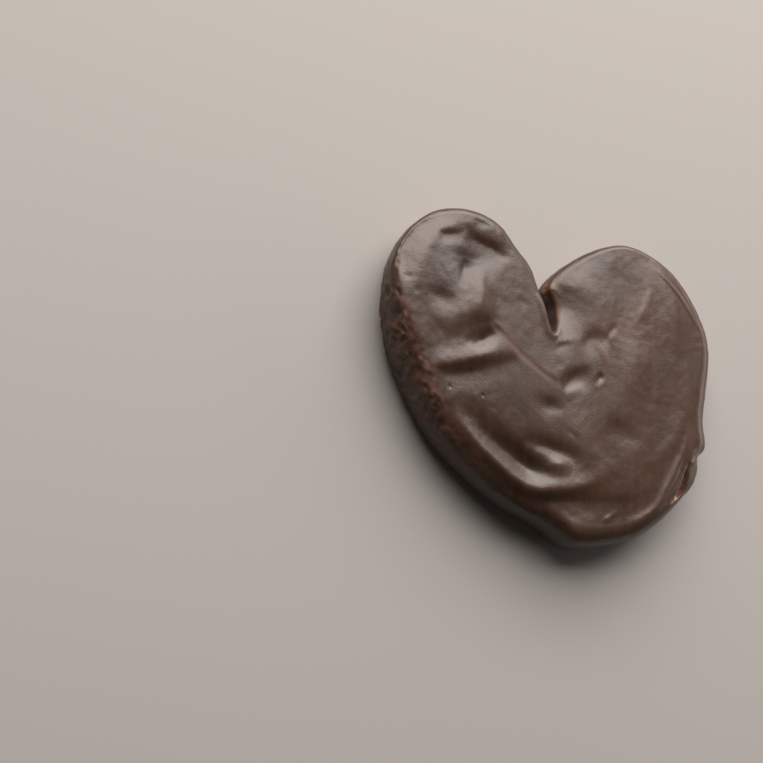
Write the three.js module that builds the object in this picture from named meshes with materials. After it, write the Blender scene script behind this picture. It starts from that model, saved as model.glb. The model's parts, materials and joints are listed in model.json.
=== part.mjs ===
// Palmier pastry: a heart of rolled puff pastry lying flat, dipped in dark chocolate.
// Units are millimetres, +Z is up. The bare baked underside rests at z = 0, the point of the
// heart looks along -Y and the two rolled lobes along +Y.

import * as THREE from 'three';

// The widest outline of the pastry, counter-clockwise from the bottom of the cleft: x, y, the
// share of the spine that the place looks at (0 left lobe, 1 point, 2 right lobe) and how far in
// the rounded shoulder reaches there.
const outline = [
  [-0.7, 16.4, 1, 2], [-2.1, 19.6, 0.72, 1.9], [-3.8, 25.4, 0.5, 2], [-6.2, 32.4, 0.33, 3.2],
  [-8.6, 40.8, 0.18, 5], [-14.9, 48.6, 0.05, 5.4], [-20.8, 55.4, 0, 5], [-28, 59, 0, 4.2],
  [-38, 60.4, 0, 3.2], [-48.8, 58, 0, 2.4], [-58, 50.4, 0, 2], [-63.6, 39.2, 0.04, 2.4],
  [-64.5, 25.5, 0.14, 5.2], [-62.2, 8.8, 0.3, 9.4], [-55.2, -8.8, 0.5, 11.6],
  [-45.5, -24, 0.66, 10.4], [-33, -37, 0.78, 8.6], [-17.5, -48.8, 0.9, 7.8], [-2, -56.5, 0.97, 8],
  [8, -63.2, 1, 8.5], [21, -63.4, 1.04, 8.5], [34.5, -60.4, 1.1, 8.5], [43.6, -55.2, 1.18, 8],
  [49, -50.6, 1.23, 7.6], [54.8, -45, 1.3, 7.6], [60.2, -39.2, 1.36, 7.6], [62.6, -33, 1.44, 7.6],
  [62.8, -28.6, 1.5, 7.8], [66, -24, 1.54, 8.2], [65.6, -14, 1.62, 8.5], [67.4, 1.5, 1.78, 8.2],
  [67.6, 14.5, 1.9, 7], [63.4, 26, 1.98, 5.5], [56, 37, 2, 4.2], [48.2, 44.4, 2, 3.2],
  [39, 49.4, 2, 2.4], [28.3, 51.8, 2, 2.2], [14.8, 47.8, 2, 2.2], [4, 40.8, 1.9, 3],
  [-0.6, 36, 1.75, 4], [-1.7, 32.8, 1.66, 3.6], [0, 29.6, 1.56, 3], [1.3, 26.4, 1.45, 2.5],
  [1.1, 22.4, 1.3, 2.1], [0.7, 18.8, 1.15, 1.9],
];

// The line inside the heart that the rings of the face close on, left lobe to right lobe.
const spine = [[-37, 32], [-27, -2], [4, -30], [30, -6], [34, 20]];

const form = {
  wideZ: 8,           // height of the widest level under the broadest shoulder
  wideRise: 1.6,      // how much higher it lies for each mm that the shoulder is tighter
  broadShoulder: 8.5,
  baseInset: 3.4,     // how far the foot draws in
  rimZ: 22,           // height where the shoulder meets the face
  squareness: 2.35,   // 2 is a round shoulder, more is squarer
  dome: 1.6,          // rise of the face over its rim
  domeReach: 14,      // how soon the face reaches that rise
};

const coat = {
  thickness: 1.2,
  gap: 0.3,           // clearance between chocolate and pastry
  edgeZ: 4.4,         // mean height of the lower edge of the chocolate
  edgeWave: 1.1,      // how far that edge wanders up and down
};

const foot = {
  layerDepth: 1.3,    // grooves between the rolled layers on the underside
  layers: 4,          // rolled layers from the foot inwards
  layersEnd: 0.74,    // share of the way to the spine where the flat middle begins
  chamferZ: 1.4,      // height of the first ring over the ground
};

const grid = {
  edgeSteps: 30,      // points of the edge line for each point of the outline
  edgeStride: 5,      // the distance to the edge is taken from every so many of them
  around: 144,        // points round the outer face of the chocolate
  crowding: 14,       // extra points where the outline bends
  fineRings: [2, 7, 13], // below the widest level, over the shoulder, across the face
  faceEnd: 0.9,       // where the rings stop short of the spine
  backRings: [2, 5, 6], // the same three counts for the hidden faces
  holdReach: 4,       // how far round it a hidden face looks for grooves
};

// Ridges (+) and grooves (-) of the face: points x, y and height, then the reach of the stroke
// on the left and on the right of its run.
const faceStrokes = {
  rimTop: [[[-57, 24, 0], [-55.6, 30, 0.4], [-54.4, 37, 0.6], [-52.4, 44.6, 0.6], [-45, 52.6, 0.5],
    [-34, 55, 0.5], [-26, 52, 0.5], [-19, 46, 0]], 6, 3],
  paleBand: [[[-65, 24, 0], [-64.4, 32, -0.8], [-63.2, 40.4, -1.92], [-57.6, 50.8, -2.08],
    [-47.8, 58, -1.36], [-37, 60.4, 0]], 7, 7],
  slotTop: [[[-48.5, 49, 0], [-45, 49.2, -0.6], [-41.5, 49.4, -0.6], [-37.5, 49.9, 0]], 1.7, 3.4],
  slotRight: [[[-37.5, 49.2, 0], [-33, 47.6, -0.7], [-27, 45.4, -0.95], [-22.5, 43, -0.4],
    [-20, 41, 0]], 2.3, 4.4],
  basinTop: [[[-48, 41, 0], [-41, 41.5, -0.6], [-36, 40, -0.9], [-30, 40.5, -0.6],
    [-22, 40, 0]], 3.4, 7],
  patchRidge: [[[-34, 39, 0], [-31.6, 34, 0.95], [-30, 27.5, 1.4], [-28.8, 22, 1.1],
    [-28.5, 17.5, 0]], 3.2, 6],
  dentLeft: [[[-52.5, 27, 0], [-48, 26.2, -0.45], [-43.5, 24.6, -0.35], [-39, 23.5, 0]], 3, 4],
  triangle: [[[-47, 14, 0], [-41, 18, 0.7], [-35, 21.4, 0.9], [-29.5, 21, 0]], 6, 5],
  hollowDeep: [[[-38.5, 11, 0], [-34.8, 10.2, -0.9], [-30.6, 10.6, -1.45], [-27, 13, -1.1],
    [-24.8, 17, 0]], 3.3, 2.6],
  ridgeCross: [[[-51, 1.6, 0], [-46, 1.4, 1], [-40.5, 2.4, 1.1], [-32, 4.6, 1.2],
    [-24.5, 6.2, 0.6], [-16, 7.6, 0]], 5.2, 2],
  underRidge: [[[-45.5, -3.6, 0], [-41, -2.4, -0.45], [-35, -1.4, -0.6], [-29, 0.2, -0.4],
    [-21, 3, -0.25], [-13, 5, 0]], 1.8, 5],
  valleyInner: [[[-28, 37, 0], [-26, 31, -0.25], [-24.5, 25, -0.35], [-23, 19, 0]], 5, 5],
  rimLeft: [[[-57, 36, 0], [-57.5, 26, 0.4], [-56, 16, 0.45], [-52, 6, 0]], 3, 3],
  cleftLip: [[[-7.6, 31, 0], [-5.6, 26, 0.5], [-4.2, 20.5, 0.6], [-2.3, 15.6, 0.5],
    [0.6, 13.6, 0]], 1.1, 2],
  cleftSlope: [[[10, 50, -1.36], [3.8, 41, -2.04], [1, 35, -2.21], [1.4, 29, -2.29],
    [1.8, 25, -2.12], [2.4, 21, -1.36], [3.4, 17, -0.59], [4.4, 13, 0]], 6.6, 3],
  dentRight: [[[9.5, 13.6, 0], [13.5, 14, -0.6], [17.5, 14.8, -0.5], [21, 16.4, 0]], 3, 5],
  hollowMiddle: [[[1.6, -5.4, 0], [4.6, -2.8, -0.8], [9, 0, -0.9], [14.6, 1.6, 0]], 2.5, 5],
  hollowLow: [[[-9.5, -10.6, 0], [-5, -11.6, -0.55], [-1.5, -12.4, -0.45], [2, -14, 0]], 2.8, 4],
  dentFar: [[[19, -17, 0], [24, -18.8, -0.45], [29, -21.2, -0.5], [34.5, -24.5, 0]], 3.3, 5],
  troughRight: [[[23, 45, 0], [27, 38, -0.35], [29, 30, -0.45], [28, 22, -0.3],
    [26, 14, 0]], 5.5, 5.5],
  swellRight: [[[38, 46, 0], [45, 38, 0.5], [49, 30, 0.65], [50, 20, 0.4], [48, 10, 0]], 5, 6],
  swellMiddle: [[[33, 15, 0], [32, 6, 0.5], [29, -4, 0.55], [25, -12, 0.4], [20, -17, 0]], 6, 6],
  valleyUpper: [[[-41, -10, 0], [-35.4, -16.5, -0.7], [-29, -22.8, -1.2], [-20, -29.2, -2.1],
    [-12, -34.6, -2.3], [-5, -37, -0.8], [0, -38.5, 0]], 4.4, 4],
  valleyBranch: [[[-15, -24.4, 0], [-8, -26, -0.8], [-1, -28, -1], [5, -30, -0.8],
    [10, -34, 0]], 2.8, 3],
  swellLow: [[[6, -12, 0], [8, -20, 0.45], [11, -27, 0.55], [18, -33, 0.35], [24, -38, 0]], 6, 6],
  layerCrest: [[[-42, -15, 0], [-37, -20.4, 0.4], [-32, -26, 0.7], [-26, -31.4, 0.8],
    [-19, -37.6, 0.9], [-10, -43, 1.2], [-1, -42.6, 1.2], [8, -41, 0.9], [16, -38.4, 0.6],
    [24, -32, 0]], 4, 2.6],
  layerBulge: [[[-5, -35.5, 0], [0, -33.6, 0.7], [6, -35, 0]], 2.4, 3.4],
  valleyLower: [[[-50, -10, 0], [-44.5, -19, -0.7], [-37, -28.5, -1.1], [-28, -36.6, -1.4],
    [-18, -44, -1.6], [-8, -47.6, -0.9], [0, -49.5, 0]], 4.2, 4.2],
  valleyPoint: [[[-12, -46, 0], [-2, -47.4, -1], [8, -47.2, -1], [20, -47.4, -0.7],
    [32, -46.6, -0.5], [42, -41, 0]], 3, 8],
  rimBand: [[[-52, -13, 0], [-46, -24.6, 0.3], [-37.4, -35, 0.5], [-26, -44.4, 0.5],
    [-12, -52, 0.3], [2, -55.8, 0.1], [16, -57.2, 0]], 3, 3],
  rimRidge: [[[27, -55.6, 0], [34.5, -52.6, 0.4], [40, -49, 0.5], [43.4, -44.6, 0.6],
    [45.4, -40.4, 0.6], [49.4, -33.4, 0.55], [54, -23.6, 0.45], [55.2, -15, 0]], 1.8, 2.2],
  rimSwell: [[[55, 8, 0], [54.5, -8, 0.3], [50.5, -19, 0.4], [44, -27.5, 0.3],
    [36, -34, 0]], 3, 3.5],
  crevice: [[[55.6, -30, 0], [54.8, -33.4, -0.72], [53.6, -37.2, -1.6], [52, -40.9, -1.84],
    [50.4, -43.4, -1.36], [47.6, -45.6, 0]], 1.3, 1.3],
};

// Swellings (+) and hollows (-) of the wall: x, y, z, reach and how far the wall moves.
const wallMarks = {
  notchRight: [63.4, -30.2, 16, 3, -1.4],
  bulgeRight: [66, -25.4, 15, 3, 0.5],
  hollowRight: [61, -36.5, 6, 7, -1.2],
  hollowPoint: [23, -62.5, 6, 6.5, -1.4],
  bulgeLeft: [-64, 24, 9, 9, 0.6],
  hollowLeft: [-57, -5, 12, 7, -0.8],
};

const finish = {
  coat: { color: 0x46302a, roughness: 0.4, metalness: 0 },
  pastry: { color: 0xc08a4a, roughness: 0.85, metalness: 0 },
};

const smoothStep = (x) => {
  const t = Math.min(Math.max(x, 0), 1);
  return t * t * (3 - 2 * t);
};
const mix = (a, b, t) => a + (b - a) * t;

const edgeCurve = new THREE.CatmullRomCurve3(
  outline.map(([x, y, share]) => new THREE.Vector3(x, y, share)), true, 'centripetal');
const spineCurve = new THREE.CatmullRomCurve3(
  spine.map(([x, y]) => new THREE.Vector3(x, y, 0)), false, 'catmullrom');

const edgeLine = edgeCurve.getPoints(outline.length * grid.edgeSteps).slice(0, -1);

// How far in the shoulder reaches at an index of the edge line, which may lie between two points.
function shoulderAt(index) {
  const along = index / grid.edgeSteps;
  const before = Math.floor(along);
  const [here, next] = [outline[before % outline.length], outline[(before + 1) % outline.length]];
  return mix(here[3], next[3], along - before);
}

const widestLevel = (shoulder) => {
  return form.wideZ + form.wideRise * Math.max(form.broadShoulder - shoulder, 0);
};

// Points along the outline, closer together where it bends, with outward normals taken over a
// short stretch (for the wall) and a long one (for the shoulder).
function walkOutline(count) {
  const total = edgeLine.length;
  const at = (i) => edgeLine[(i + total) % total];
  const heading = (i) => Math.atan2(at(i + 1).y - at(i).y, at(i + 1).x - at(i).x);
  const turn = edgeLine.map((_, i) => {
    const bend = heading(i + 9) - heading(i - 9);
    return Math.abs(Math.atan2(Math.sin(bend), Math.cos(bend))) / 18;
  });
  const sums = [0];
  for (let i = 0; i < total; i++) {
    const step = Math.hypot(at(i + 1).x - at(i).x, at(i + 1).y - at(i).y);
    sums.push(sums[i] + step + grid.crowding * turn[i]);
  }
  const normalOver = (i, reach) => {
    const ahead = at(i + reach);
    const behind = at(i - reach);
    return new THREE.Vector2(ahead.y - behind.y, behind.x - ahead.x).normalize();
  };
  const places = [];
  let index = 0;
  for (let k = 0; k < count; k++) {
    const wanted = (k / count) * sums[total];
    while (sums[index + 1] < wanted) index++;
    const part = (wanted - sums[index]) / (sums[index + 1] - sums[index]);
    const point = at(index).clone().lerp(at(index + 1), part);
    const shoulder = shoulderAt(index + part);
    places.push({
      x: point.x,
      y: point.y,
      share: point.z,
      near: normalOver(index, 4),
      far: normalOver(index, 24),
      inner: spineCurve.getPoint(Math.min(Math.max(point.z / 2, 0), 1)),
      shoulder,
      wide: widestLevel(shoulder),
    });
  }
  return places;
}

function distanceToSegment(x, y, a, b) {
  const run = (b.x - a.x) ** 2 + (b.y - a.y) ** 2;
  const t = Math.min(Math.max(((x - a.x) * (b.x - a.x) + (y - a.y) * (b.y - a.y)) / run, 0), 1);
  return { t, d: Math.hypot(x - mix(a.x, b.x, t), y - mix(a.y, b.y, t)) };
}

// Distance to the outline, and the shoulder's reach at the nearest place on it.
function nearestEdge(x, y) {
  let best = { d: Infinity };
  for (let i = 0; i < edgeLine.length; i += grid.edgeStride) {
    const next = edgeLine[(i + grid.edgeStride) % edgeLine.length];
    const found = distanceToSegment(x, y, edgeLine[i], next);
    if (found.d < best.d) best = { d: found.d, index: i + found.t * grid.edgeStride };
  }
  return { distance: best.d, shoulder: shoulderAt(best.index) };
}

// A stroke as a short chain of points whose z holds its height there.
function strokeChain([points, leftReach, rightReach]) {
  const curve = new THREE.CatmullRomCurve3(
    points.map(([x, y, h]) => new THREE.Vector3(x, y, h)), false, 'catmullrom');
  return { chain: curve.getPoints((points.length - 1) * 5), leftReach, rightReach };
}
const strokes = Object.values(faceStrokes).map(strokeChain);

function faceRelief(x, y) {
  let total = 0;
  for (const { chain, leftReach, rightReach } of strokes) {
    let best = { d: Infinity };
    for (let i = 0; i + 1 < chain.length; i++) {
      const found = distanceToSegment(x, y, chain[i], chain[i + 1]);
      if (found.d < best.d) best = { ...found, a: chain[i], b: chain[i + 1] };
    }
    const { a, b, t, d } = best;
    const side = (b.x - a.x) * (y - a.y) - (b.y - a.y) * (x - a.x);
    const reach = side > 0 ? leftReach : rightReach;
    total += mix(a.z, b.z, t) * Math.exp(-((d / reach) ** 2));
  }
  return total;
}

// The deepest relief round a point, so that a coarse hidden face laid there never breaks
// through a groove of the skin above it.
function heldRelief(x, y) {
  let low = faceRelief(x, y);
  for (let i = 0; i < 12; i++) {
    const turn = (i / 12) * 2 * Math.PI;
    const reach = grid.holdReach * (i % 2 ? 1 : 0.6);
    low = Math.min(low, faceRelief(x + reach * Math.cos(turn), y + reach * Math.sin(turn)));
  }
  return low;
}

// Height of the face without its relief, from the distance to the edge.
function faceHeight({ distance, shoulder }) {
  const power = 2 / form.squareness;
  if (distance >= shoulder) {
    const inland = (distance - shoulder) / form.domeReach;
    return form.rimZ + form.dome * (1 - Math.exp(-inland));
  }
  const cosine = (1 - distance / shoulder) ** (1 / power);
  return mix(widestLevel(shoulder), form.rimZ, Math.sqrt(1 - cosine ** 2) ** power);
}

// Height of the lower edge of the chocolate, by the share of the way round.
const coatEdge = (share) => {
  const turn = share * 2 * Math.PI;
  return coat.edgeZ + coat.edgeWave * (0.6 * Math.sin(7 * turn + 1) + 0.4 * Math.sin(17 * turn));
};

function ringPoint(place, inset) {
  const toInner = new THREE.Vector2(place.inner.x - place.x, place.inner.y - place.y).normalize();
  const far = smoothStep(inset / 4);
  const inward = place.near.clone().multiplyScalar(far - 1).addScaledVector(place.far, -far);
  inward.lerp(toInner, 0.45 * smoothStep(inset / place.shoulder)).normalize();
  return new THREE.Vector2(place.x, place.y).addScaledVector(inward, inset);
}

// A point of the wall or the shoulder, moved by the swellings and hollows near it.
function wallPoint(place, inset, z, reliefAt) {
  const { x, y } = ringPoint(place, inset);
  const lift = Math.max((z - place.wide) / (form.rimZ - place.wide), 0);
  const point = new THREE.Vector3(x, y, z + (lift ? lift * reliefAt(x, y) : 0));
  for (const [mx, my, mz, reach, push] of Object.values(wallMarks)) {
    const near = point.distanceToSquared(new THREE.Vector3(mx, my, mz)) / reach ** 2;
    const move = push * Math.exp(-near);
    point.x += place.near.x * move;
    point.y += place.near.y * move;
  }
  return point;
}

// The outer skin of the dipped heart as rings of points: the wall and the shoulder, then the
// face closing on the spine. The lowest ring follows the lower edge of the chocolate.
function skinRings(places, [lowerRings, upperRings, faceRings], reliefAt) {
  const power = 2 / form.squareness;
  const rings = [];
  for (let i = 0; i < lowerRings; i++) {
    rings.push(places.map((place, k) => {
      const z = mix(coatEdge(k / places.length), place.wide, i / lowerRings);
      return wallPoint(place, form.baseInset * (1 - z / place.wide) ** 2, z, reliefAt);
    }));
  }
  for (let i = 0; i <= upperRings; i++) {
    const angle = ((i / upperRings) * Math.PI) / 2;
    rings.push(places.map((place) => {
      const inset = place.shoulder * (1 - Math.cos(angle) ** power);
      const z = mix(place.wide, form.rimZ, Math.sin(angle) ** power);
      return wallPoint(place, inset, z, reliefAt);
    }));
  }
  for (let j = 1; j <= faceRings; j++) {
    const share = (j / faceRings) * grid.faceEnd;
    rings.push(places.map((place) => {
      const start = ringPoint(place, place.shoulder);
      const x = mix(start.x, place.inner.x, share);
      const y = mix(start.y, place.inner.y, share);
      return new THREE.Vector3(x, y, faceHeight(nearestEdge(x, y)) + reliefAt(x, y));
    }));
  }
  return rings;
}

// Vertex normals of a grid of rings, pointing out of the solid.
function ringNormals(rings) {
  const last = rings.length - 1;
  return rings.map((ring, j) => ring.map((_, k) => {
    const count = ring.length;
    const along = ring[(k + 1) % count].clone().sub(ring[(k + count - 1) % count]);
    const up = rings[Math.min(j + 1, last)][k].clone().sub(rings[Math.max(j - 1, 0)][k]);
    return along.cross(up).normalize();
  }));
}

const movedIn = (rings, depth) => {
  const normals = ringNormals(rings);
  return rings.map((ring, j) => ring.map((point, k) => {
    return point.clone().addScaledVector(normals[j][k], -depth);
  }));
};

// Zips the two sides of the last ring together along the spine, starting at the left lobe and
// always taking the shorter way across.
function seamTriangles(ring, places) {
  const count = ring.length;
  const wrap = (i) => (i + count) % count;
  let start = 0;
  for (let k = 0; k < count; k++) {
    if (places[k].share < 0.02 && ring[k].y > ring[start].y) start = k;
  }
  let ahead = wrap(start + 1);
  let back = wrap(start - 1);
  const triangles = [[back, start, ahead]];
  while (wrap(back - ahead) > 1) {
    const aheadNext = wrap(ahead + 1);
    const backNext = wrap(back - 1);
    if (ring[aheadNext].distanceTo(ring[back]) < ring[backNext].distanceTo(ring[ahead])) {
      triangles.push([ahead, aheadNext, back]);
      ahead = aheadNext;
    } else {
      triangles.push([backNext, back, ahead]);
      back = backNext;
    }
  }
  return triangles;
}

// A triangle soup with shared points, for closed bodies made of rings.
class Shell {
  constructor() {
    this.positions = [];
    this.triangles = [];
  }

  addRing(ring) {
    const first = this.positions.length / 3;
    for (const { x, y, z } of ring) this.positions.push(x, y, z);
    return { first, count: ring.length };
  }

  // Joins two rings; the first may have a whole number of points for each point of the second.
  join(low, high) {
    const ratio = low.count / high.count;
    for (let k = 0; k < high.count; k++) {
      const up = high.first + k;
      const upNext = high.first + ((k + 1) % high.count);
      const lowAt = (i) => low.first + ((k * ratio + i) % low.count);
      const half = Math.ceil(ratio / 2);
      for (let i = 0; i < half; i++) this.triangles.push(lowAt(i), lowAt(i + 1), up);
      this.triangles.push(lowAt(half), upNext, up);
      for (let i = half; i < ratio; i++) this.triangles.push(lowAt(i), lowAt(i + 1), upNext);
    }
  }

  joinDown(high, low) {
    const start = this.triangles.length;
    this.join(low, high);
    this.flipFrom(start);
  }

  close(ring, seam) {
    for (const corners of seam) this.triangles.push(...corners.map((k) => ring.first + k));
  }

  flipFrom(start) {
    for (let i = start; i < this.triangles.length; i += 3) {
      [this.triangles[i + 1], this.triangles[i + 2]] = [this.triangles[i + 2], this.triangles[i + 1]];
    }
  }

  // Adds rings from the foot to the spine and closes them there; nested skins share one seam.
  addSkin(rings, seam) {
    const placed = rings.map((ring) => this.addRing(ring));
    for (let j = 0; j + 1 < placed.length; j++) this.join(placed[j], placed[j + 1]);
    this.close(placed.at(-1), seam);
    return placed[0];
  }

  toMesh(name, look) {
    const geometry = new THREE.BufferGeometry();
    geometry.setAttribute('position', new THREE.Float32BufferAttribute(this.positions, 3));
    geometry.setIndex(this.triangles);
    geometry.computeVertexNormals();
    const mesh = new THREE.Mesh(geometry, new THREE.MeshStandardMaterial(look));
    mesh.name = name;
    return mesh;
  }
}

const finePlaces = walkOutline(grid.around);
const backPlaces = finePlaces.filter((_, k) => k % 2 === 0);
const fineSkin = skinRings(finePlaces, grid.fineRings, faceRelief);
const backSkin = skinRings(backPlaces, grid.backRings, heldRelief);
const fineSeam = seamTriangles(fineSkin.at(-1), finePlaces);
const backSeam = seamTriangles(backSkin.at(-1), backPlaces);

function makeCoat() {
  const shell = new Shell();
  const outerFoot = shell.addSkin(fineSkin, fineSeam);
  const start = shell.triangles.length;
  const innerFoot = shell.addSkin(movedIn(backSkin, coat.thickness), backSeam);
  shell.flipFrom(start);
  shell.joinDown(innerFoot, outerFoot);
  return shell.toMesh('chocolate_coat', finish.coat);
}

// The baked body: the same skin moved in under the chocolate, a foot below it, and an underside
// whose rolled layers stand as flat lands with grooves between them.
function makePastry() {
  const depth = coat.thickness + coat.gap;
  const shell = new Shell();
  const skin = movedIn(backSkin, depth);
  const footRing = (z) => backPlaces.map((place) => {
    const inset = depth + form.baseInset * (1 - z / place.wide) ** 2;
    const { x, y } = ringPoint(place, inset);
    return new THREE.Vector3(x, y, z);
  });
  const base = footRing(0);
  const low = shell.addRing(footRing(foot.chamferZ));
  const firstSkin = shell.addSkin(skin, backSeam);
  shell.join(low, firstSkin);
  const baseRing = shell.addRing(base);
  shell.join(baseRing, low);
  const steps = [];
  for (let layer = 0; layer < foot.layers; layer++) {
    for (const [part, z] of [[0.62, 0], [0.81, foot.layerDepth], [1, 0]]) {
      steps.push([((layer + part) / foot.layers) * foot.layersEnd, z]);
    }
  }
  steps.push([grid.faceEnd, 0]);
  let above = baseRing;
  for (const [share, z] of steps) {
    const next = shell.addRing(backPlaces.map((place, k) => new THREE.Vector3(
      mix(base[k].x, place.inner.x, share), mix(base[k].y, place.inner.y, share), z)));
    shell.joinDown(next, above);
    above = next;
  }
  const start = shell.triangles.length;
  shell.close(above, backSeam);
  shell.flipFrom(start);
  return shell.toMesh('pastry', finish.pastry);
}

const palmier = new THREE.Group();
palmier.add(makePastry(), makeCoat());

// The origin sits under the middle of the whole.
const middle = new THREE.Box3().setFromObject(palmier).getCenter(new THREE.Vector3());
palmier.position.set(-middle.x, -middle.y, 0);
palmier.updateMatrixWorld(true);

export default palmier;
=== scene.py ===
# Palmier: a heart of rolled puff pastry lying flat, its face and sides dipped in dark chocolate.
# The drawing is in millimetres, +Z is up, the point of the heart looks along -Y.
import json
import math

import bpy
import numpy as np
from mathutils import Matrix, Vector, noise

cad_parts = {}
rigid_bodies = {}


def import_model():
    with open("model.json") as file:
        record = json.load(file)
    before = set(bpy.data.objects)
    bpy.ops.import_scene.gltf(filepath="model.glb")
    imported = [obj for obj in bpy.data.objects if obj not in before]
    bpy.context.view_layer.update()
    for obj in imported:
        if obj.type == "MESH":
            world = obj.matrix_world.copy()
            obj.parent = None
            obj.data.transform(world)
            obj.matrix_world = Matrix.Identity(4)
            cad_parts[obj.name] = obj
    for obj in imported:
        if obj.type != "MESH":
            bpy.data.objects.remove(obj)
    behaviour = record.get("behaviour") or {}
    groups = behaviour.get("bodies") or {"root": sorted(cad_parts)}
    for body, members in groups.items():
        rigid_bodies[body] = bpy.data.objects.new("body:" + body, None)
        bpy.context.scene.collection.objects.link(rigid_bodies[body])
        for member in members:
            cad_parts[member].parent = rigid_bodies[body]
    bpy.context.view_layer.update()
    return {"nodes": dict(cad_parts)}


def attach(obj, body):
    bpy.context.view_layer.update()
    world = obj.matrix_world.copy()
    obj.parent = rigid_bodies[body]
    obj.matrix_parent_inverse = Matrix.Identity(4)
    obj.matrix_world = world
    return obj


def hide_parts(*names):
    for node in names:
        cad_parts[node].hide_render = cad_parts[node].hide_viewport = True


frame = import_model()
print("frame loaded:", ", ".join(sorted(frame["nodes"])))

# The heart that every piece follows. Lengths are in mm.
heart = {
    # counter-clockwise from the bottom of the cleft: x, y, the share of the spine that the place
    # looks at (0 left lobe, 1 point, 2 right lobe) and how far in the shoulder reaches there
    "outline": [
        (-0.7, 16.4, 1.0, 2), (-2.1, 19.6, 0.72, 1.9), (-3.8, 25.4, 0.5, 2),
        (-6.2, 32.4, 0.33, 3.2), (-8.6, 40.8, 0.18, 5), (-14.9, 48.6, 0.05, 5.4),
        (-20.8, 55.4, 0, 5), (-28, 59, 0, 4.2), (-38, 60.4, 0, 3.2), (-48.8, 58, 0, 2.4),
        (-58, 50.4, 0, 2), (-63.6, 39.2, 0.04, 2.4), (-64.5, 25.5, 0.14, 5.2),
        (-62.2, 8.8, 0.3, 9.4),
        (-55.2, -8.8, 0.5, 11.6), (-45.5, -24, 0.66, 10.4), (-33, -37, 0.78, 8.6),
        (-17.5, -48.8, 0.9, 7.8), (-2, -56.5, 0.97, 8), (8, -63.2, 1, 8.5), (21, -63.4, 1.04, 8.5),
        (34.5, -60.4, 1.1, 8.5), (43.6, -55.2, 1.18, 8), (49, -50.6, 1.23, 7.6),
        (54.8, -45, 1.3, 7.6), (60.2, -39.2, 1.36, 7.6), (62.6, -33, 1.44, 7.6),
        (62.8, -28.6, 1.5, 7.8), (66, -24, 1.54, 8.2), (65.6, -14, 1.62, 8.5),
        (67.4, 1.5, 1.78, 8.2), (67.6, 14.5, 1.9, 7), (63.4, 26, 1.98, 5.5),
        (56, 37, 2, 4.2), (48.2, 44.4, 2, 3.2), (39, 49.4, 2, 2.4), (28.3, 51.8, 2, 2.2),
        (14.8, 47.8, 2, 2.2), (4, 40.8, 1.9, 3), (-0.6, 36, 1.75, 4),
        (-1.7, 32.8, 1.66, 3.6), (0, 29.6, 1.56, 3), (1.3, 26.4, 1.45, 2.5), (1.1, 22.4, 1.3, 2.1),
        (0.7, 18.8, 1.15, 1.9),
    ],
    "spine": [(-37, 32), (-27, -2), (4, -30), (30, -6), (34, 20)],
    "middle": (1.481, -1.705),  # where the origin falls on the drawing
    "steps": 30,              # steps of the curve between two points of the outline
    "chainEvery": 5,          # distances to it are taken on every so many of them
    "bendReach": 9,           # steps over which its bend is measured
    "nearReach": 4,           # and its direction, for the wall
    "farReach": 24,           # and for the shoulder
    "crowding": 14,           # extra points where the outline bends
    "turnIn": 4,              # how far in the direction goes over from near to far
    "leanIn": 0.45,           # how much the shoulder leans towards the spine
    "wideZ": 8,               # height of the widest level under the broadest shoulder
    "wideRise": 1.6,          # how much higher it lies for each mm that the shoulder is tighter
    "baseInset": 3.4,         # how far the foot draws in
    "broadShoulder": 8.5,
    "rimZ": 22,               # height where the shoulder meets the face
    "squareness": 2.35,       # of the shoulder's curve, where 2 is a quarter of an ellipse
    "dome": 1.6,              # rise of the face over its rim
    "domeReach": 14,          # how soon the face gets there
    "domeBlur": 4,            # how far its slopes run into each other
    "domeHalf": 76,           # half the side of the square that holds the dome
    "strokeSteps": 6,         # steps of the curve between two points of a stroke on the face
    "calmEvery": 3,           # the lowest relief is looked for on every so many points and rings
}


# 0 up to low, 1 from high on, and a smooth rise between them.
def ramp(x, low, high):
    t = np.clip((x - low) / (high - low), 0, 1)
    return t * t * (3 - 2 * t)


# A smooth closed line through the points that doesn't swing out between them.
def closedCurve(points, steps):
    p = np.array(points, float)
    turns = []
    for i in range(len(p)):
        a, b, c, d = (p[(i + k) % len(p)] for k in (-1, 0, 1, 2))
        t1 = np.linalg.norm(b - a) ** 0.5
        t2 = t1 + np.linalg.norm(c - b) ** 0.5
        t3 = t2 + np.linalg.norm(d - c) ** 0.5
        t = np.linspace(t1, t2, steps, endpoint=False)[:, None]
        ab = (t1 - t) / t1 * a + t / t1 * b
        bc = (t2 - t) / (t2 - t1) * b + (t - t1) / (t2 - t1) * c
        cd = (t3 - t) / (t3 - t2) * c + (t - t2) / (t3 - t2) * d
        abc = (t2 - t) / t2 * ab + t / t2 * bc
        bcd = (t3 - t) / (t3 - t1) * bc + (t - t1) / (t3 - t1) * cd
        turns.append((t2 - t) / (t2 - t1) * abc + (t - t1) / (t2 - t1) * bcd)
    return np.vstack(turns)


# The places at those shares of the way along a smooth line through the points.
def openCurve(points, shares):
    p = np.array(points, float)
    p = np.vstack([2 * p[0] - p[1], p, 2 * p[-1] - p[-2]])
    along = np.clip(shares, 0, 1) * (len(p) - 3)
    i = np.minimum(along.astype(int), len(p) - 4)
    s = (along - i)[:, None]
    a, b, c, d = p[i], p[i + 1], p[i + 2], p[i + 3]
    return 0.5 * (2 * b + (c - a) * s + (2 * a - 5 * b + 4 * c - d) * s**2
                  + (3 * b - a - 3 * c + d) * s**3)


edgeLine = closedCurve(heart["outline"], heart["steps"])
edgeChain = edgeLine[::heart["chainEvery"]]


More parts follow.
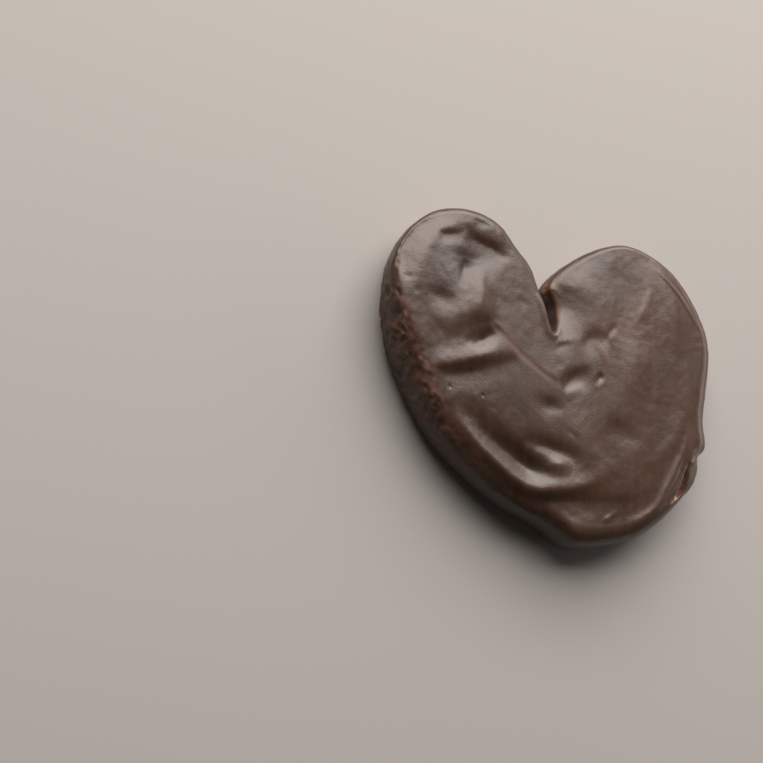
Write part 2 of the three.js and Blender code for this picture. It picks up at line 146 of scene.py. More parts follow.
# Height at which the wall stands out most.
def widestLevel(shoulder):
    return heart["wideZ"] + heart["wideRise"] * np.maximum(heart["broadShoulder"] - shoulder, 0)


# Points along the outline, closer together where it bends, with outward normals over a short
# stretch (for the wall) and a long one (for the shoulder).
def walkOutline(count):
    total, reach = len(edgeLine), heart["bendReach"]
    ahead = np.roll(edgeLine, -1, 0) - edgeLine
    heading = np.arctan2(ahead[:, 1], ahead[:, 0])
    bend = np.roll(heading, -reach) - np.roll(heading, reach)
    turn = np.abs(np.arctan2(np.sin(bend), np.cos(bend))) / (2 * reach)
    step = np.hypot(ahead[:, 0], ahead[:, 1]) + heart["crowding"] * turn
    sums = np.concatenate([[0], np.cumsum(step)])
    index = np.interp(np.arange(count) / count * sums[-1], sums, np.arange(total + 1))
    low = np.floor(index).astype(int)
    part = (index - low)[:, None]
    points = edgeLine[low % total] * (1 - part) + edgeLine[(low + 1) % total] * part

    def normalOver(reach):
        run = edgeLine[(low + reach) % total, :2] - edgeLine[(low - reach) % total, :2]
        normal = np.stack([run[:, 1], -run[:, 0]], 1)
        return normal / np.linalg.norm(normal, axis=1)[:, None]

    return {
        "count": count,
        "xy": points[:, :2],
        "near": normalOver(heart["nearReach"]),
        "far": normalOver(heart["farReach"]),
        "inner": openCurve(heart["spine"], points[:, 2] / 2),
        "shoulder": points[:, 3],
        "wide": widestLevel(points[:, 3]),
        "turn": np.arange(count) / count,
    }


# The places moved inwards over the shoulder, by their insets.
def ringPoint(places, inset):
    inset = np.broadcast_to(inset, places["count"])[:, None]
    toInner = places["inner"] - places["xy"]
    toInner /= np.linalg.norm(toInner, axis=1)[:, None]
    far = ramp(inset, 0, heart["turnIn"])
    inward = -(1 - far) * places["near"] - far * places["far"]
    lean = heart["leanIn"] * ramp(inset, 0, places["shoulder"][:, None])
    inward = inward * (1 - lean) + toInner * lean
    inward /= np.linalg.norm(inward, axis=1)[:, None]
    return places["xy"] + inward * inset


# The nearest place on a chain of points: how far it is, the last value of its points there, and
# the side, which is + on the left of the run.
def nearestOn(starts, ends, xy):
    best = np.full(len(xy), 1e9)
    value, side = np.zeros(len(xy)), np.zeros(len(xy))
    for a, b in zip(starts, ends):
        run = (b - a)[:2]
        off = xy - a[:2]
        t = np.clip(off @ run / (run @ run), 0, 1)
        distance = np.linalg.norm(off - t[:, None] * run, axis=1)
        nearer = distance < best
        best[nearer] = distance[nearer]
        value[nearer] = (a[-1] + (b[-1] - a[-1]) * t)[nearer]
        side[nearer] = (run[0] * off[:, 1] - run[1] * off[:, 0])[nearer]
    return best, value, side


# Distance to the outline, and the shoulder's reach at the nearest place on it.
def edgeDistance(xy):
    return nearestOn(edgeChain, np.roll(edgeChain, -1, 0), xy)[:2]


# The rise of the face over its rim on a grid of one millimetre, smooth across the middle line.
def domeGrid():
    half, blur = heart["domeHalf"], heart["domeBlur"]
    side = np.arange(-half, half + 1)
    x, y = np.meshgrid(side, side)
    flat = np.column_stack([x.ravel(), y.ravel()])
    distance, shoulder = edgeDistance(flat)
    inside = np.zeros(len(flat), bool)
    for a, b in zip(edgeChain, np.roll(edgeChain, -1, 0)):
        crosses = (a[1] > flat[:, 1]) != (b[1] > flat[:, 1])
        at = a[0] + (flat[:, 1] - a[1]) / (b[1] - a[1] + 1e-12) * (b[0] - a[0])
        inside ^= crosses & (flat[:, 0] < at)
    inland = np.maximum(distance - shoulder, 0) / heart["domeReach"]
    rise = np.where(inside, heart["dome"] * (1 - np.exp(-inland)), 0).reshape(x.shape)
    weights = np.exp(-(np.arange(-3 * blur, 3 * blur + 1) / blur) ** 2 / 2)
    weights /= weights.sum()
    for axis in (0, 1):
        rise = np.apply_along_axis(lambda line: np.convolve(line, weights, "same"), axis, rise)
    return rise


dome = domeGrid()


def domeRise(xy):
    at = xy + heart["domeHalf"]
    column, row = np.floor(at).astype(int).T
    across, up = (at - np.floor(at)).T
    low = dome[row, column] * (1 - across) + dome[row, column + 1] * across
    high = dome[row + 1, column] * (1 - across) + dome[row + 1, column + 1] * across
    return low * (1 - up) + high * up


# Height of the face without its relief, from the distance to the edge.
def faceHeight(xy):
    distance, shoulder = edgeDistance(xy)
    power = 2 / heart["squareness"]
    cosine = np.clip(1 - distance / shoulder, 0, 1) ** (1 / power)
    wide = widestLevel(shoulder)
    rounded = wide + (heart["rimZ"] - wide) * np.sqrt(1 - cosine**2) ** power
    return rounded + domeRise(xy) * ramp(distance, 0, shoulder)


# The smooth heart as rings of points: the wall and the shoulder, then the face closing on the
# spine. lift is the share of the face's relief that reaches each point, inland is 0 on the wall,
# 1 where the shoulder ends and 2 at the spine.
def smoothSkin(places, counts, lowEdge, faceEnd):
    lowerRings, upperRings, faceRings = counts
    wide, shoulder = places["wide"], places["shoulder"]
    rings, lift, inland = [], [], []
    for up in np.arange(lowerRings) / lowerRings:
        height = lowEdge + (wide - lowEdge) * up
        inset = heart["baseInset"] * (1 - height / wide) ** 2
        rings.append(np.column_stack([ringPoint(places, inset), height]))
        lift.append(np.zeros(places["count"]))
        inland.append(np.zeros(places["count"]))
    power = 2 / heart["squareness"]
    for angle in np.linspace(0, math.pi / 2, upperRings + 1):
        inset = shoulder * (1 - max(math.cos(angle), 0) ** power)
        height = wide + (heart["rimZ"] - wide) * math.sin(angle) ** power
        xy = ringPoint(places, inset)
        height += domeRise(xy) * ramp(inset, 0, shoulder)
        rings.append(np.column_stack([xy, height]))
        lift.append(np.full(places["count"], math.sin(angle) ** power))
        inland.append(inset / shoulder)
    start = ringPoint(places, shoulder)
    for share in np.arange(1, faceRings + 1) / faceRings * faceEnd:
        xy = start * (1 - share) + places["inner"] * share
        rings.append(np.column_stack([xy, faceHeight(xy)]))
        lift.append(np.ones(places["count"]))
        inland.append(np.full(places["count"], 1 + share))
    return np.array(rings), np.array(lift), np.array(inland)


# Outward normals of rings of points.
def ringNormals(rings):
    along = np.roll(rings, -1, 1) - np.roll(rings, 1, 1)
    up = np.concatenate([rings[1:2] - rings[:1], rings[2:] - rings[:-2],
                         rings[-1:] - rings[-2:-1]])
    normals = np.cross(along, up)
    return normals / np.linalg.norm(normals, axis=2)[:, :, None]


# Smooth noise from about -1 to 1 with lumps of that size, in millimetres.
def lumps(points, size, seed):
    shift = Vector((seed * 17.3, seed * 9.1, seed * 5.7))
    scaled = points.reshape(-1, 3) / np.array(size, float)
    found = [noise.noise(Vector(p) + shift) for p in scaled]
    return np.array(found).reshape(points.shape[:-1])


# Layers of that noise: size, height and seed.
def layered(points, layers, noiseOf=lumps):
    return sum(height * noiseOf(points, size, seed) for size, height, seed in layers)


# Rounded pebbles side by side, 1 on their tops and near 0 in the seams between them.
def pebbles(points, size, seed):
    shift = Vector((seed * 3.1, seed * 7.7, seed * 1.9))
    scaled = points.reshape(-1, 3) / size
    found = [1 - noise.voronoi(Vector(p) + shift)[0][0] for p in scaled]
    return np.clip(found, 0, 1).reshape(points.shape[:-1])


def bandFaces(low, high):
    return np.column_stack([low, np.roll(low, -1), np.roll(high, -1), high]).tolist()


def gridFaces(first, rows, count):
    ring = first + np.arange(count)
    faces = []
    for j in range(rows - 1):
        faces += bandFaces(ring + j * count, ring + (j + 1) * count)
    return faces


# Zips the two sides of the last ring together along the spine, from the left lobe onwards,
# always taking the shorter way across.
def zipFaces(ring, first):
    count = len(ring)
    spineStart = np.array(heart["spine"][0], float)
    start = int(np.argmax(ring[:, 1] - np.hypot(*(ring[:, :2] - spineStart).T)))
    ahead, back = (start + 1) % count, (start - 1) % count
    faces = [[back, start, ahead]]
    while (back - ahead) % count > 1:
        aheadNext, backNext = (ahead + 1) % count, (back - 1) % count
        onward = np.linalg.norm(ring[aheadNext] - ring[back])
        if onward < np.linalg.norm(ring[backNext] - ring[ahead]):
            faces.append([ahead, aheadNext, back])
            ahead = aheadNext
        else:
            faces.append([backNext, back, ahead])
            back = backNext
    return [[first + k for k in face] for face in faces]


# Points are on the drawing, in mm. The object sits at the origin.
def makeObject(name, points, faces, material=None, attributes=None, edges=()):
    mesh = bpy.data.meshes.new(name)
    placed = np.array(points, float) - np.array([*heart["middle"], 0])
    mesh.from_pydata((placed / 1000).tolist(), edges, faces)
    mesh.polygons.foreach_set("use_smooth", [True] * len(mesh.polygons))
    for label, values in (attributes or {}).items():
        mesh.attributes.new(label, "FLOAT", "POINT").data.foreach_set("value", np.ravel(values))
    if material:
        mesh.materials.append(material)
    mesh.update()
    obj = bpy.data.objects.new(name, mesh)
    bpy.context.scene.collection.objects.link(obj)
    return obj


# The materials take their colours as sRGB hex codes.
def linearColour(code):
    parts = [int(code[i:i + 2], 16) / 255 for i in (1, 3, 5)]
    return (*[c / 12.92 if c <= 0.04045 else ((c + 0.055) / 1.055) ** 2.4 for c in parts], 1)


# An input is given as a value or as the output that it is linked to.
def addNode(tree, kind, inputs=None, **settings):
    node = tree.nodes.new(kind)
    for name, value in settings.items():
        setattr(node, name, value)
    for socket, given in (inputs or {}).items():
        if isinstance(given, bpy.types.NodeSocket):
            tree.links.new(given, node.inputs[socket])
        else:
            node.inputs[socket].default_value = given
    return node


def newMaterial(name):
    material = bpy.data.materials.new(name)
    material.use_nodes = True
    tree = material.node_tree
    tree.nodes.clear()
    return material, tree


# Dark couverture chocolate, poured and set: deep brown with a satin skin, with painted highlights
# and painted shade, redder and duller where the crust shows through a thin coat.
couverture = {
    "dark": "#25160f",
    "light": "#3d2b21",
    "olive": "#332818",
    "thin": "#462a1e",
    "footShade": "#2c1910",         # painted shade low on the wall
    "crust": "#7a5238",        # where it tore, and its middle
    "goldenCrust": "#dcb684",
    "goldenFrom": 0.6,
    "roughness": (0.31, 0.41),
    "thinRougher": 0.28,       # how much rougher the skin is where it is thin
    "footRougher": 0.3,        # and towards the foot
    "ior": 1.5,
    "cloudSize": 16,           # mm between lighter and darker clouds
    "cloudShare": 0.5,
    "oliveSize": 24,           # mm between the patches that have aged to olive
    "oliveFrom": (0.45, 0.7),  # where in the noise the olive comes up
    "oliveMost": 0.4,
    "streak": (2.6, 30),       # mm across and along the strokes that the pouring left
    "streakTurn": -14,         # degrees
    "streakFrom": (0.3, 0.7),
    "streakShare": 0.35,
    "grainSize": 0.8,          # mm between the grains that cocoa leaves, drawn coarser to show
    "grainDepth": 0.05,        # mm
    "scaleDepth": 0.1,         # mm, where the skin is scaly
}


def makeCouverture():
    s = couverture
    material, tree = newMaterial("darkCouverture")
    place = addNode(tree, "ShaderNodeTexCoord").outputs["Object"]
    spread, thin, footShade, bare, scaly = (
        addNode(tree, "ShaderNodeAttribute", attribute_name=name).outputs["Fac"]
        for name in ("lightnessWithPaintedLight", "thinCoat", "paintedFootShade", "bareCrust", "scaly"))

    clouds = addNode(tree, "ShaderNodeTexNoise", {
        "Vector": place, "Scale": 1000 / s["cloudSize"], "Detail": 3, "Roughness": 0.55})
    across, along = s["streak"]
    laid = addNode(tree, "ShaderNodeMapping", {
        "Vector": place, "Rotation": (0, 0, math.radians(s["streakTurn"])),
        "Scale": (1000 / across, 1000 / along, 1000 / along)})
    streaks = addNode(tree, "ShaderNodeTexNoise", {
        "Vector": laid.outputs["Vector"], "Scale": 1, "Detail": 2, "Roughness": 0.6})
    # lightness: clouds at random, plus the painted light and shade that the mesh carries
    cloudy = addNode(tree, "ShaderNodeMath", {
        0: clouds.outputs["Fac"], 1: s["cloudShare"], 2: spread}, operation="MULTIPLY_ADD")
    swept = addNode(tree, "ShaderNodeMapRange", {
        "Value": streaks.outputs["Fac"], "From Min": s["streakFrom"][0],
        "From Max": s["streakFrom"][1], "To Min": -s["streakShare"] / 2,
        "To Max": s["streakShare"] / 2})
    lighter = addNode(tree, "ShaderNodeMath", {
        0: cloudy.outputs[0], 1: swept.outputs["Result"]}, operation="ADD", use_clamp=True)
    aged = addNode(tree, "ShaderNodeTexNoise", {
        "Vector": place, "Scale": 1000 / s["oliveSize"], "Detail": 2})
    ageShare = addNode(tree, "ShaderNodeMapRange", {
        "Value": aged.outputs["Fac"], "From Min": s["oliveFrom"][0],
        "From Max": s["oliveFrom"][1], "To Max": s["oliveMost"]})
    golden = addNode(tree, "ShaderNodeMapRange", {"Value": bare, "From Min": s["goldenFrom"]})
    baked = addNode(tree, "ShaderNodeMix", {
        "Factor": golden.outputs["Result"], "A": linearColour(s["crust"]),
        "B": linearColour(s["goldenCrust"])}, data_type="RGBA")
    colour = linearColour(s["dark"])
    # over the brown: olive patches, the thin coat, painted shade low on the wall, the torn crust
    for share, over in ((lighter.outputs[0], linearColour(s["light"])),
                        (ageShare.outputs["Result"], linearColour(s["olive"])),
                        (thin, linearColour(s["thin"])), (footShade, linearColour(s["footShade"])),
                        (bare, baked.outputs["Result"])):
        colour = addNode(tree, "ShaderNodeMix", {
            "Factor": share, "A": colour, "B": over}, data_type="RGBA").outputs["Result"]

    gloss = addNode(tree, "ShaderNodeMapRange", {
        "Value": clouds.outputs["Fac"], "To Min": s["roughness"][0], "To Max": s["roughness"][1]})
    dull = gloss.outputs["Result"]
    for share, rougher in ((thin, s["thinRougher"]), (footShade, s["footRougher"])):
        dull = addNode(tree, "ShaderNodeMath", {
            0: share, 1: rougher, 2: dull}, operation="MULTIPLY_ADD").outputs[0]

    grain = addNode(tree, "ShaderNodeTexNoise", {
        "Vector": place, "Scale": 1000 / s["grainSize"], "Detail": 2, "Roughness": 0.6})
    coarser = addNode(tree, "ShaderNodeMapRange", {
        "Value": scaly, "To Min": s["grainDepth"] / 1000, "To Max": s["scaleDepth"] / 1000})
    height = addNode(tree, "ShaderNodeMath", {
        0: grain.outputs["Fac"], 1: coarser.outputs["Result"]}, operation="MULTIPLY")
    bump = addNode(tree, "ShaderNodeBump", {
        "Height": height.outputs[0], "Strength": 1, "Distance": 1})
    shader = addNode(tree, "ShaderNodeBsdfPrincipled", {
        "Base Color": colour, "Roughness": dull, "IOR": s["ior"],
        "Normal": bump.outputs["Normal"]})
    addNode(tree, "ShaderNodeOutputMaterial", {"Surface": shader.outputs["BSDF"]})
    return material


# Puff pastry baked on a sheet: dry golden crust, caramelised brown on the ridges that touched
# the sheet, paler between the layers.
crust = {
    "pale": "#dcb071",
    "golden": "#c58a45",
    "caramel": "#8f5226",
    "roughness": (0.45, 0.75),  # where it is browned, and where it is pale
    "ior": 1.5,
    "patchSize": 9,             # mm between browner patches
    "grainSize": 0.6,
    "grainDepth": 0.12,
    "grainShare": 0.35,         # how much the grain mottles the browning
    "brownFrom": (0.2, 1.1),    # how browned it is where the caramel starts and is full
}


def makeCrust():
    s = crust
    material, tree = newMaterial("bakedPuffPastry")
    place = addNode(tree, "ShaderNodeTexCoord").outputs["Object"]
    browned = addNode(tree, "ShaderNodeAttribute", attribute_name="browned")
    patches = addNode(tree, "ShaderNodeTexNoise", {
        "Vector": place, "Scale": 1000 / s["patchSize"], "Detail": 4, "Roughness": 0.6})
    base = addNode(tree, "ShaderNodeMix", {
        "Factor": patches.outputs["Fac"], "A": linearColour(s["pale"]),
        "B": linearColour(s["golden"])}, data_type="RGBA")
    grain = addNode(tree, "ShaderNodeTexNoise", {
        "Vector": place, "Scale": 1000 / s["grainSize"], "Detail": 3, "Roughness": 0.6})
    mottled = addNode(tree, "ShaderNodeMath", {
        0: grain.outputs["Fac"], 1: s["grainShare"], 2: browned.outputs["Fac"]},
        operation="MULTIPLY_ADD")
    brown = addNode(tree, "ShaderNodeMapRange", {
        "Value": mottled.outputs[0], "From Min": s["brownFrom"][0], "From Max": s["brownFrom"][1]})
    colour = addNode(tree, "ShaderNodeMix", {
        "Factor": brown.outputs["Result"], "A": base.outputs["Result"],
        "B": linearColour(s["caramel"])}, data_type="RGBA")
    gloss = addNode(tree, "ShaderNodeMapRange", {
        "Value": brown.outputs["Result"], "To Min": s["roughness"][1], "To Max": s["roughness"][0]})
    bump = addNode(tree, "ShaderNodeBump", {
        "Height": grain.outputs["Fac"], "Strength": 1, "Distance": s["grainDepth"] / 1000})
    shader = addNode(tree, "ShaderNodeBsdfPrincipled", {
        "Base Color": colour.outputs["Result"], "Roughness": gloss.outputs["Result"],
        "IOR": s["ior"], "Normal": bump.outputs["Normal"]})
    addNode(tree, "ShaderNodeOutputMaterial", {"Surface": shader.outputs["BSDF"]})
    return material


chocolate = makeCouverture()
pastry = makeCrust()
print("materials made")


# Ridges (+) and grooves (-) of the face: points x, y and height, then the reach of the stroke
# on the left and on the right of its run.
faceStrokes = {
    # left lobe
    "rimTop": ([(-57, 24, 0), (-55.6, 30, 0.4), (-54.4, 37, 0.6), (-52.4, 44.6, 0.6),
                (-45, 52.6, 0.5), (-34, 55, 0.5), (-26, 52, 0.5), (-19, 46, 0)], 6, 3),
    "paleBand": ([(-65, 24, 0), (-64.4, 32, -1), (-63.2, 40.4, -2.4), (-57.6, 50.8, -2.6),
                  (-47.8, 58, -1.7), (-37, 60.4, 0)], 7, 7),
    "rimLine": ([(-65.6, 31, 0), (-64, 37.6, 0.5), (-61.4, 44.6, 0.55), (-58.2, 49.2, 0.5),
                 (-54.2, 53.4, 0.4), (-47, 57.6, 0)], 0.6, 0.7),
    "slotTop": ([(-48.5, 49, 0), (-45, 49.2, -0.55), (-41.5, 49.4, -0.55),
                 (-37.5, 49.9, 0)], 1.7, 4),
    "slotRight": ([(-37.5, 49.2, 0), (-33, 47.6, -0.7), (-27, 45.4, -0.9), (-22.5, 43, -0.4),
                   (-20, 41, 0)], 2.3, 5.6),
    "dentTop": ([(-34.5, 55.2, 0), (-30, 54.2, -0.3), (-26, 52.4, 0)], 1.5, 1.9),
    "basinTop": ([(-48, 41, 0), (-41, 41.5, -0.5), (-36, 40, -0.75), (-30, 40.5, -0.5),
                  (-22, 40, 0)], 3.4, 7),
    "threadDown": ([(-36.2, 40.5, 0), (-36.9, 37.6, -0.4), (-37.6, 34, -0.35),
                    (-38, 29.5, 0)], 3, 2),
    "patchRidge": ([(-33.6, 38, 0), (-32, 33.4, 0.8), (-31, 27.5, 1.2), (-30, 22, 1),
                    (-28.8, 17.5, 0)], 4, 5),
    "dentLeft": ([(-52.5, 27, 0), (-48, 26.2, -0.45), (-43.5, 24.6, -0.35), (-39, 23.5, 0)], 3, 4),
    "triangle": ([(-47, 14, 0), (-41, 18, 0.7), (-35, 21.4, 0.9), (-29.5, 21, 0)], 6, 5),
    "hollowDeep": ([(-37.5, 11, 0), (-34.2, 10.2, -0.6), (-30.4, 10.6, -1.5), (-27, 13, -1.2),
                    (-24.8, 17, 0)], 3.3, 2.6),
    "ridgeCross": ([(-51, 1.6, 0), (-46, 1.4, 1), (-40.5, 2.4, 1.1), (-32, 4.6, 1.2),
                    (-24.5, 6.2, 0.6), (-16, 7.6, 0)], 5.2, 2),
    "underRidge": ([(-45.5, -3.6, 0), (-41, -2.4, -0.45), (-35, -1.4, -0.6), (-29, 0.2, -0.4),
                    (-21, 3, -0.25), (-13, 5, 0)], 1.8, 5),
    "creaseSlant": ([(-28, 19, 0), (-24, 14.6, -0.12), (-18, 9.4, -0.14), (-11.7, 4.1, -0.14),
                     (-5, -0.6, -0.12), (0.5, -4.1, 0)], 0.9, 0.7),
    "valleyInner": ([(-28, 38, 0), (-26, 31, -0.1), (-24.5, 25, -0.18), (-23, 18, 0)], 6, 6),
    "smudgeInner": ([(-16.8, 27.6, 0), (-14, 26, -0.2), (-11.5, 24.4, 0)], 1.5, 1.8),
    "rimLeft": ([(-57, 36, 0), (-57.5, 26, 0.4), (-56, 16, 0.45), (-52, 6, 0)], 3, 3),
    # round the cleft and the right lobe
    "cleftLip": ([(-7.6, 31, 0), (-5.6, 26, 0.5), (-4.2, 20.5, 0.6), (-2.3, 15.6, 0.5),
                  (0.6, 13.6, 0)], 1.1, 2),
    "cleftSlope": ([(10, 50, -1.6), (3.8, 41, -2.4), (1, 35, -2.6), (1.4, 29, -2.7),
                    (1.8, 25, -2.5), (2.4, 21, -1.6), (3.4, 17, -0.7), (4.4, 13, 0)], 6.6, 3),
    "wrinkle": ([(-1.2, 9.4, 0), (1.6, 10.8, -0.16), (4.2, 11.6, -0.16), (7.8, 13.4, 0)], 1, 1.4),
    "dentRight": ([(9.5, 13.6, 0), (13.5, 14, -0.6), (17.5, 14.8, -0.5), (21, 16.4, 0)], 3, 5),
    "nickRight": ([(24.6, 20.6, 0), (22.6, 18, -0.25), (21, 15.4, -0.3), (19.6, 12, 0)], 0.8, 1.5),
    "seamRight": ([(13.6, 14, 0), (17, 11.4, 0.16), (19.8, 8.4, 0.2), (21.4, 3.6, 0)], 1, 2),
    "hollowMiddle": ([(1.6, -5.4, 0), (4.6, -2.8, -0.8), (9, 0, -0.9), (14.6, 1.6, 0)], 2.5, 5),
    "hollowLow": ([(-9.5, -10.6, 0), (-5, -11.6, -0.55), (-1.5, -12.4, -0.45),
                   (2, -14, 0)], 2.8, 4),
    "glintBump": ([(3, -7, 0), (5.6, -5.9, 0.3), (8.6, -4.6, 0.25), (11, -4, 0)], 1.2, 2),
    "dentFar": ([(19, -17, 0), (24, -18.8, -0.45), (29, -21.2, -0.5), (34.5, -24.5, 0)], 3.3, 5),
    "troughRight": ([(23, 45, 0), (27, 38, -0.35), (29, 30, -0.45), (28, 22, -0.3),
                     (26, 14, 0)], 5.5, 5.5),
    "streakRight": ([(38.6, 35.4, 0), (37.4, 31, 0.28), (36, 26.4, 0.32), (34.2, 21, 0)], 3, 1.6),
    "streakTop": ([(11.5, 41, 0), (10.6, 37, 0.14), (9.4, 31.5, 0)], 1, 1.6),
    "swellRight": ([(38, 46, 0), (45, 38, 0.5), (49, 30, 0.65), (50, 20, 0.4), (48, 10, 0)], 5, 6),
    "swellMiddle": ([(33, 15, 0), (32, 6, 0.5), (29, -4, 0.55), (25, -12, 0.4),
                     (20, -17, 0)], 6, 6),
    # the rolled layers near the point
    "valleyUpper": ([(-41, -10, 0), (-35.4, -16.5, -0.7), (-29, -22.8, -1.2), (-20, -29.2, -2.1),
                     (-12, -34.6, -2.3), (-5, -37, -0.8), (0, -38.5, 0)], 4.4, 4),
    "valleyBranch": ([(-15, -24.4, 0), (-8, -26, -0.8), (-1, -28, -1), (5, -30, -0.8),
                      (10, -34, 0)], 2.8, 3),
    "markLow": ([(2.5, -20.8, 0), (5.5, -21.8, -0.14), (8, -24.6, 0)], 0.9, 0.9),
    "swellLow": ([(6, -12, 0), (8, -20, 0.45), (11, -27, 0.55), (18, -33, 0.35),
                  (24, -38, 0)], 6, 6),
    "layerCrest": ([(-42, -15, 0), (-37, -20.4, 0.4), (-32, -26, 0.7), (-26, -31.4, 0.8),
                    (-19, -37.6, 0.9), (-10, -43, 1.2), (-1, -42.6, 1.2), (8, -41, 0.9),
                    (16, -38.4, 0.6), (24, -32, 0)], 4, 2.6),
    "layerBulge": ([(-5, -35.5, 0), (0, -33.6, 0.7), (6, -35, 0)], 2.4, 3.4),
    "valleyLower": ([(-50, -10, 0), (-44.5, -19, -0.7), (-37, -28.5, -1.1), (-28, -36.6, -1.4),
                     (-18, -44, -1.6), (-8, -47.6, -0.9), (0, -49.5, 0)], 4.2, 4.2),
    "valleyPoint": ([(-12, -46, 0), (-2, -47.4, -1), (8, -47.2, -1), (20, -47.4, -0.7),
                     (32, -46.6, -0.5), (42, -41, 0)], 3, 8),
    "rimBand": ([(-52, -13, 0), (-46, -24.6, 0.3), (-37.4, -35, 0.5), (-26, -44.4, 0.5),
                 (-12, -52, 0.3), (2, -55.8, 0.1), (16, -57.2, 0)], 3, 3),
    "crestSmall": ([(18.4, -54.4, 0), (21, -52.4, 0.25), (25, -49.6, 0)], 0.9, 1.2),
    "rimRidge": ([(27, -55.6, 0), (34.5, -52.6, 0.4), (40, -49, 0.5), (43.4, -44.6, 0.6),
                  (45.4, -40.4, 0.6), (49.4, -33.4, 0.55), (54, -23.6, 0.45),
                  (55.2, -15, 0)], 1.8, 2.2),
    "rimSwell": ([(55, 8, 0), (54.5, -8, 0.3), (50.5, -19, 0.4), (44, -27.5, 0.3),
                  (36, -34, 0)], 3, 3.5),
    "shoulderLine": ([(41, 43.6, 0), (46.5, 38.6, 0.25), (53.4, 31, 0.32),
                      (62.6, 17.6, 0)], 0.7, 0.7),
    # the flap at the lower right: a rim, the crevice inside it and the lip on the far side
    "flapRim": ([(62, -23.5, 0), (60.2, -25.6, 0.4), (57.6, -29.4, 0.55), (57, -32.4, 0.5),
                 (55.4, -36.9, 0.5), (54.2, -40, 0.5), (52.4, -43.3, 0.5),
                 (49, -46.2, 0)], 0.7, 0.8),
    "crevice": ([(55.6, -30, 0), (54.8, -33.4, -0.9), (53.6, -37.2, -2), (52, -40.9, -2.3),
                 (50.4, -43.4, -1.7), (47.6, -45.6, 0)], 0.8, 0.85),
    "creviceLip": ([(53.8, -32, 0), (52.6, -36.6, 0.12), (50.8, -40.2, 0.16), (48.5, -43.3, 0.12),
                    (45.2, -46.4, 0)], 1.2, 1.6),
    "lipGroove": ([(55, -22, 0), (52.6, -29.6, -0.16), (50.4, -36.4, -0.18), (47.4, -41, -0.18),
                   (45, -44.6, 0)], 1.2, 1.2),
}

# Pinholes where air broke through: x, y, radius and depth.
pinholes = [
    (-29.9, -9.5, 0.5, 0.35), (-42.5, -6.8, 0.6, 0.3), (-6.6, -4.8, 0.45, 0.3),
    (-27.9, -33.9, 0.5, 0.3), (17.4, -0.3, 1.3, 0.8), (-62.6, 37.6, 1.1, 0.25),
    (-59, 32.6, 1.2, 0.2), (-55.6, 27.8, 1.3, 0.15), (-29.6, 10.4, 0.5, 0.25),
]

# The chocolate coat. Lengths are in mm.
chocolateCoat = {
    "around": 760,
    "rings": (9, 40, 62),      # below the widest level, over the shoulder, across the face
    "faceEnd": 0.985,          # how near the face's rings come to the spine
    "thickness": 1.2,
    "innerEvery": (4, 3),      # the hidden side takes every so many points and rings
    "innerCalm": 6,            # and keeps to the lowest relief of so many round it
    "edgeZ": 4.4,              # mean height of the lower edge
    "edgeWave": 1.1,
    "edgeWaves": [(7, 1, 0.6), (17, 0, 0.4)],  # how many go round, their phase and share
    "lipRings": 5,
    "lipDrop": 0.55,           # how far the lip hangs below the edge
    # unevenness of the whole skin: size, height and seed
    "uneven": [(13, 0.08, 1), (4.5, 0.07, 2), (2.2, 0.05, 13)],
    "collar": (1.5, 0.5, 0.08),  # place, width and height of a pinhole's collar, by its own size
    # swellings (+) and hollows (-) of the wall: x, y, z, reach and how far the wall moves
    "wallMarks": [
        (63.4, -30.2, 16, 2.4, -1.4), (66, -25.4, 15, 2.8, 0.5), (61, -36.5, 6, 7, -1.2),
        (23, -62.5, 6, 6.5, -1.4), (-64, 24, 9, 9, 0.6), (-57, -5, 12, 7, -0.8),
    ],
    "calmCleft": (-1, 26, 8),  # x, y and reach of the cleft, where the walls are smooth and thin
    "cleftThin": 0.9,
    "cleftEnds": (0.5, 0.9),   # share of the way over the shoulder
    # strokes along which the coat is thin: name, reach and share
    "thinLines": [("creaseSlant", 0.9, 0.7), ("seamRight", 1.1, 0.6)],
    "thinLinesFade": 0.1,      # where a stroke is lower than this, the thin line fades out
    # painted shade low on the wall: full up to this z, gone at this one, its share, and how that
    # wanders
    "footShadeHeights": (4, 13, 0.7),
    "footShadeEdge": [(5, 1, 16)],
    # lightness of the skin: at the left, more at the right, and painted light and shade by the
    # relief
    "spread": (0.1, 0.35, 0.25),
    "spreadX": (-15, 25),
    # painted highlights (+) and painted shade (-), and where it is scaly: x, y, reach
    # and share
    "paintedHighlightsAndShade": [(-33.7, 26.7, 4.5, 0.7), (-43, 36.7, 7, -0.5), (4.4, 20.6, 4, 0.35),
               (28.5, 20, 11, 0.35), (24, 40, 11, -0.5), (-36, 55, 7, -0.3),
               (36.6, 29, 2.8, 0.4)],
    "scales": [(-59, 36, 4, 0.8), (-57.5, 43, 4, 1), (-53.5, 49.5, 4, 1), (-46, 55, 4.5, 1),
               (-38, 57.5, 4.5, 0.8)],
    # the scaly band is drawn lighter as well: a painted highlight
    "scalesPaintedHighlight": 0.9,
    # where the coat tore and crust looks through: x, y, z, reach and share
    "torn": [(53.8, -36.4, 20, 1, 0.15), (52.9, -39, 19.5, 1.1, 0.35),
             (51.7, -41.4, 19, 1.4, 0.6), (50.3, -43.6, 19.5, 1, 0.95),
             (48.8, -45.2, 19.5, 0.7, 0.8), (-2.3, 32.2, 14.5, 2, 1),
             (-1, 30.2, 13.5, 1.6, 1), (-1.2, 34.6, 15.5, 0.9, 0.8)],
}

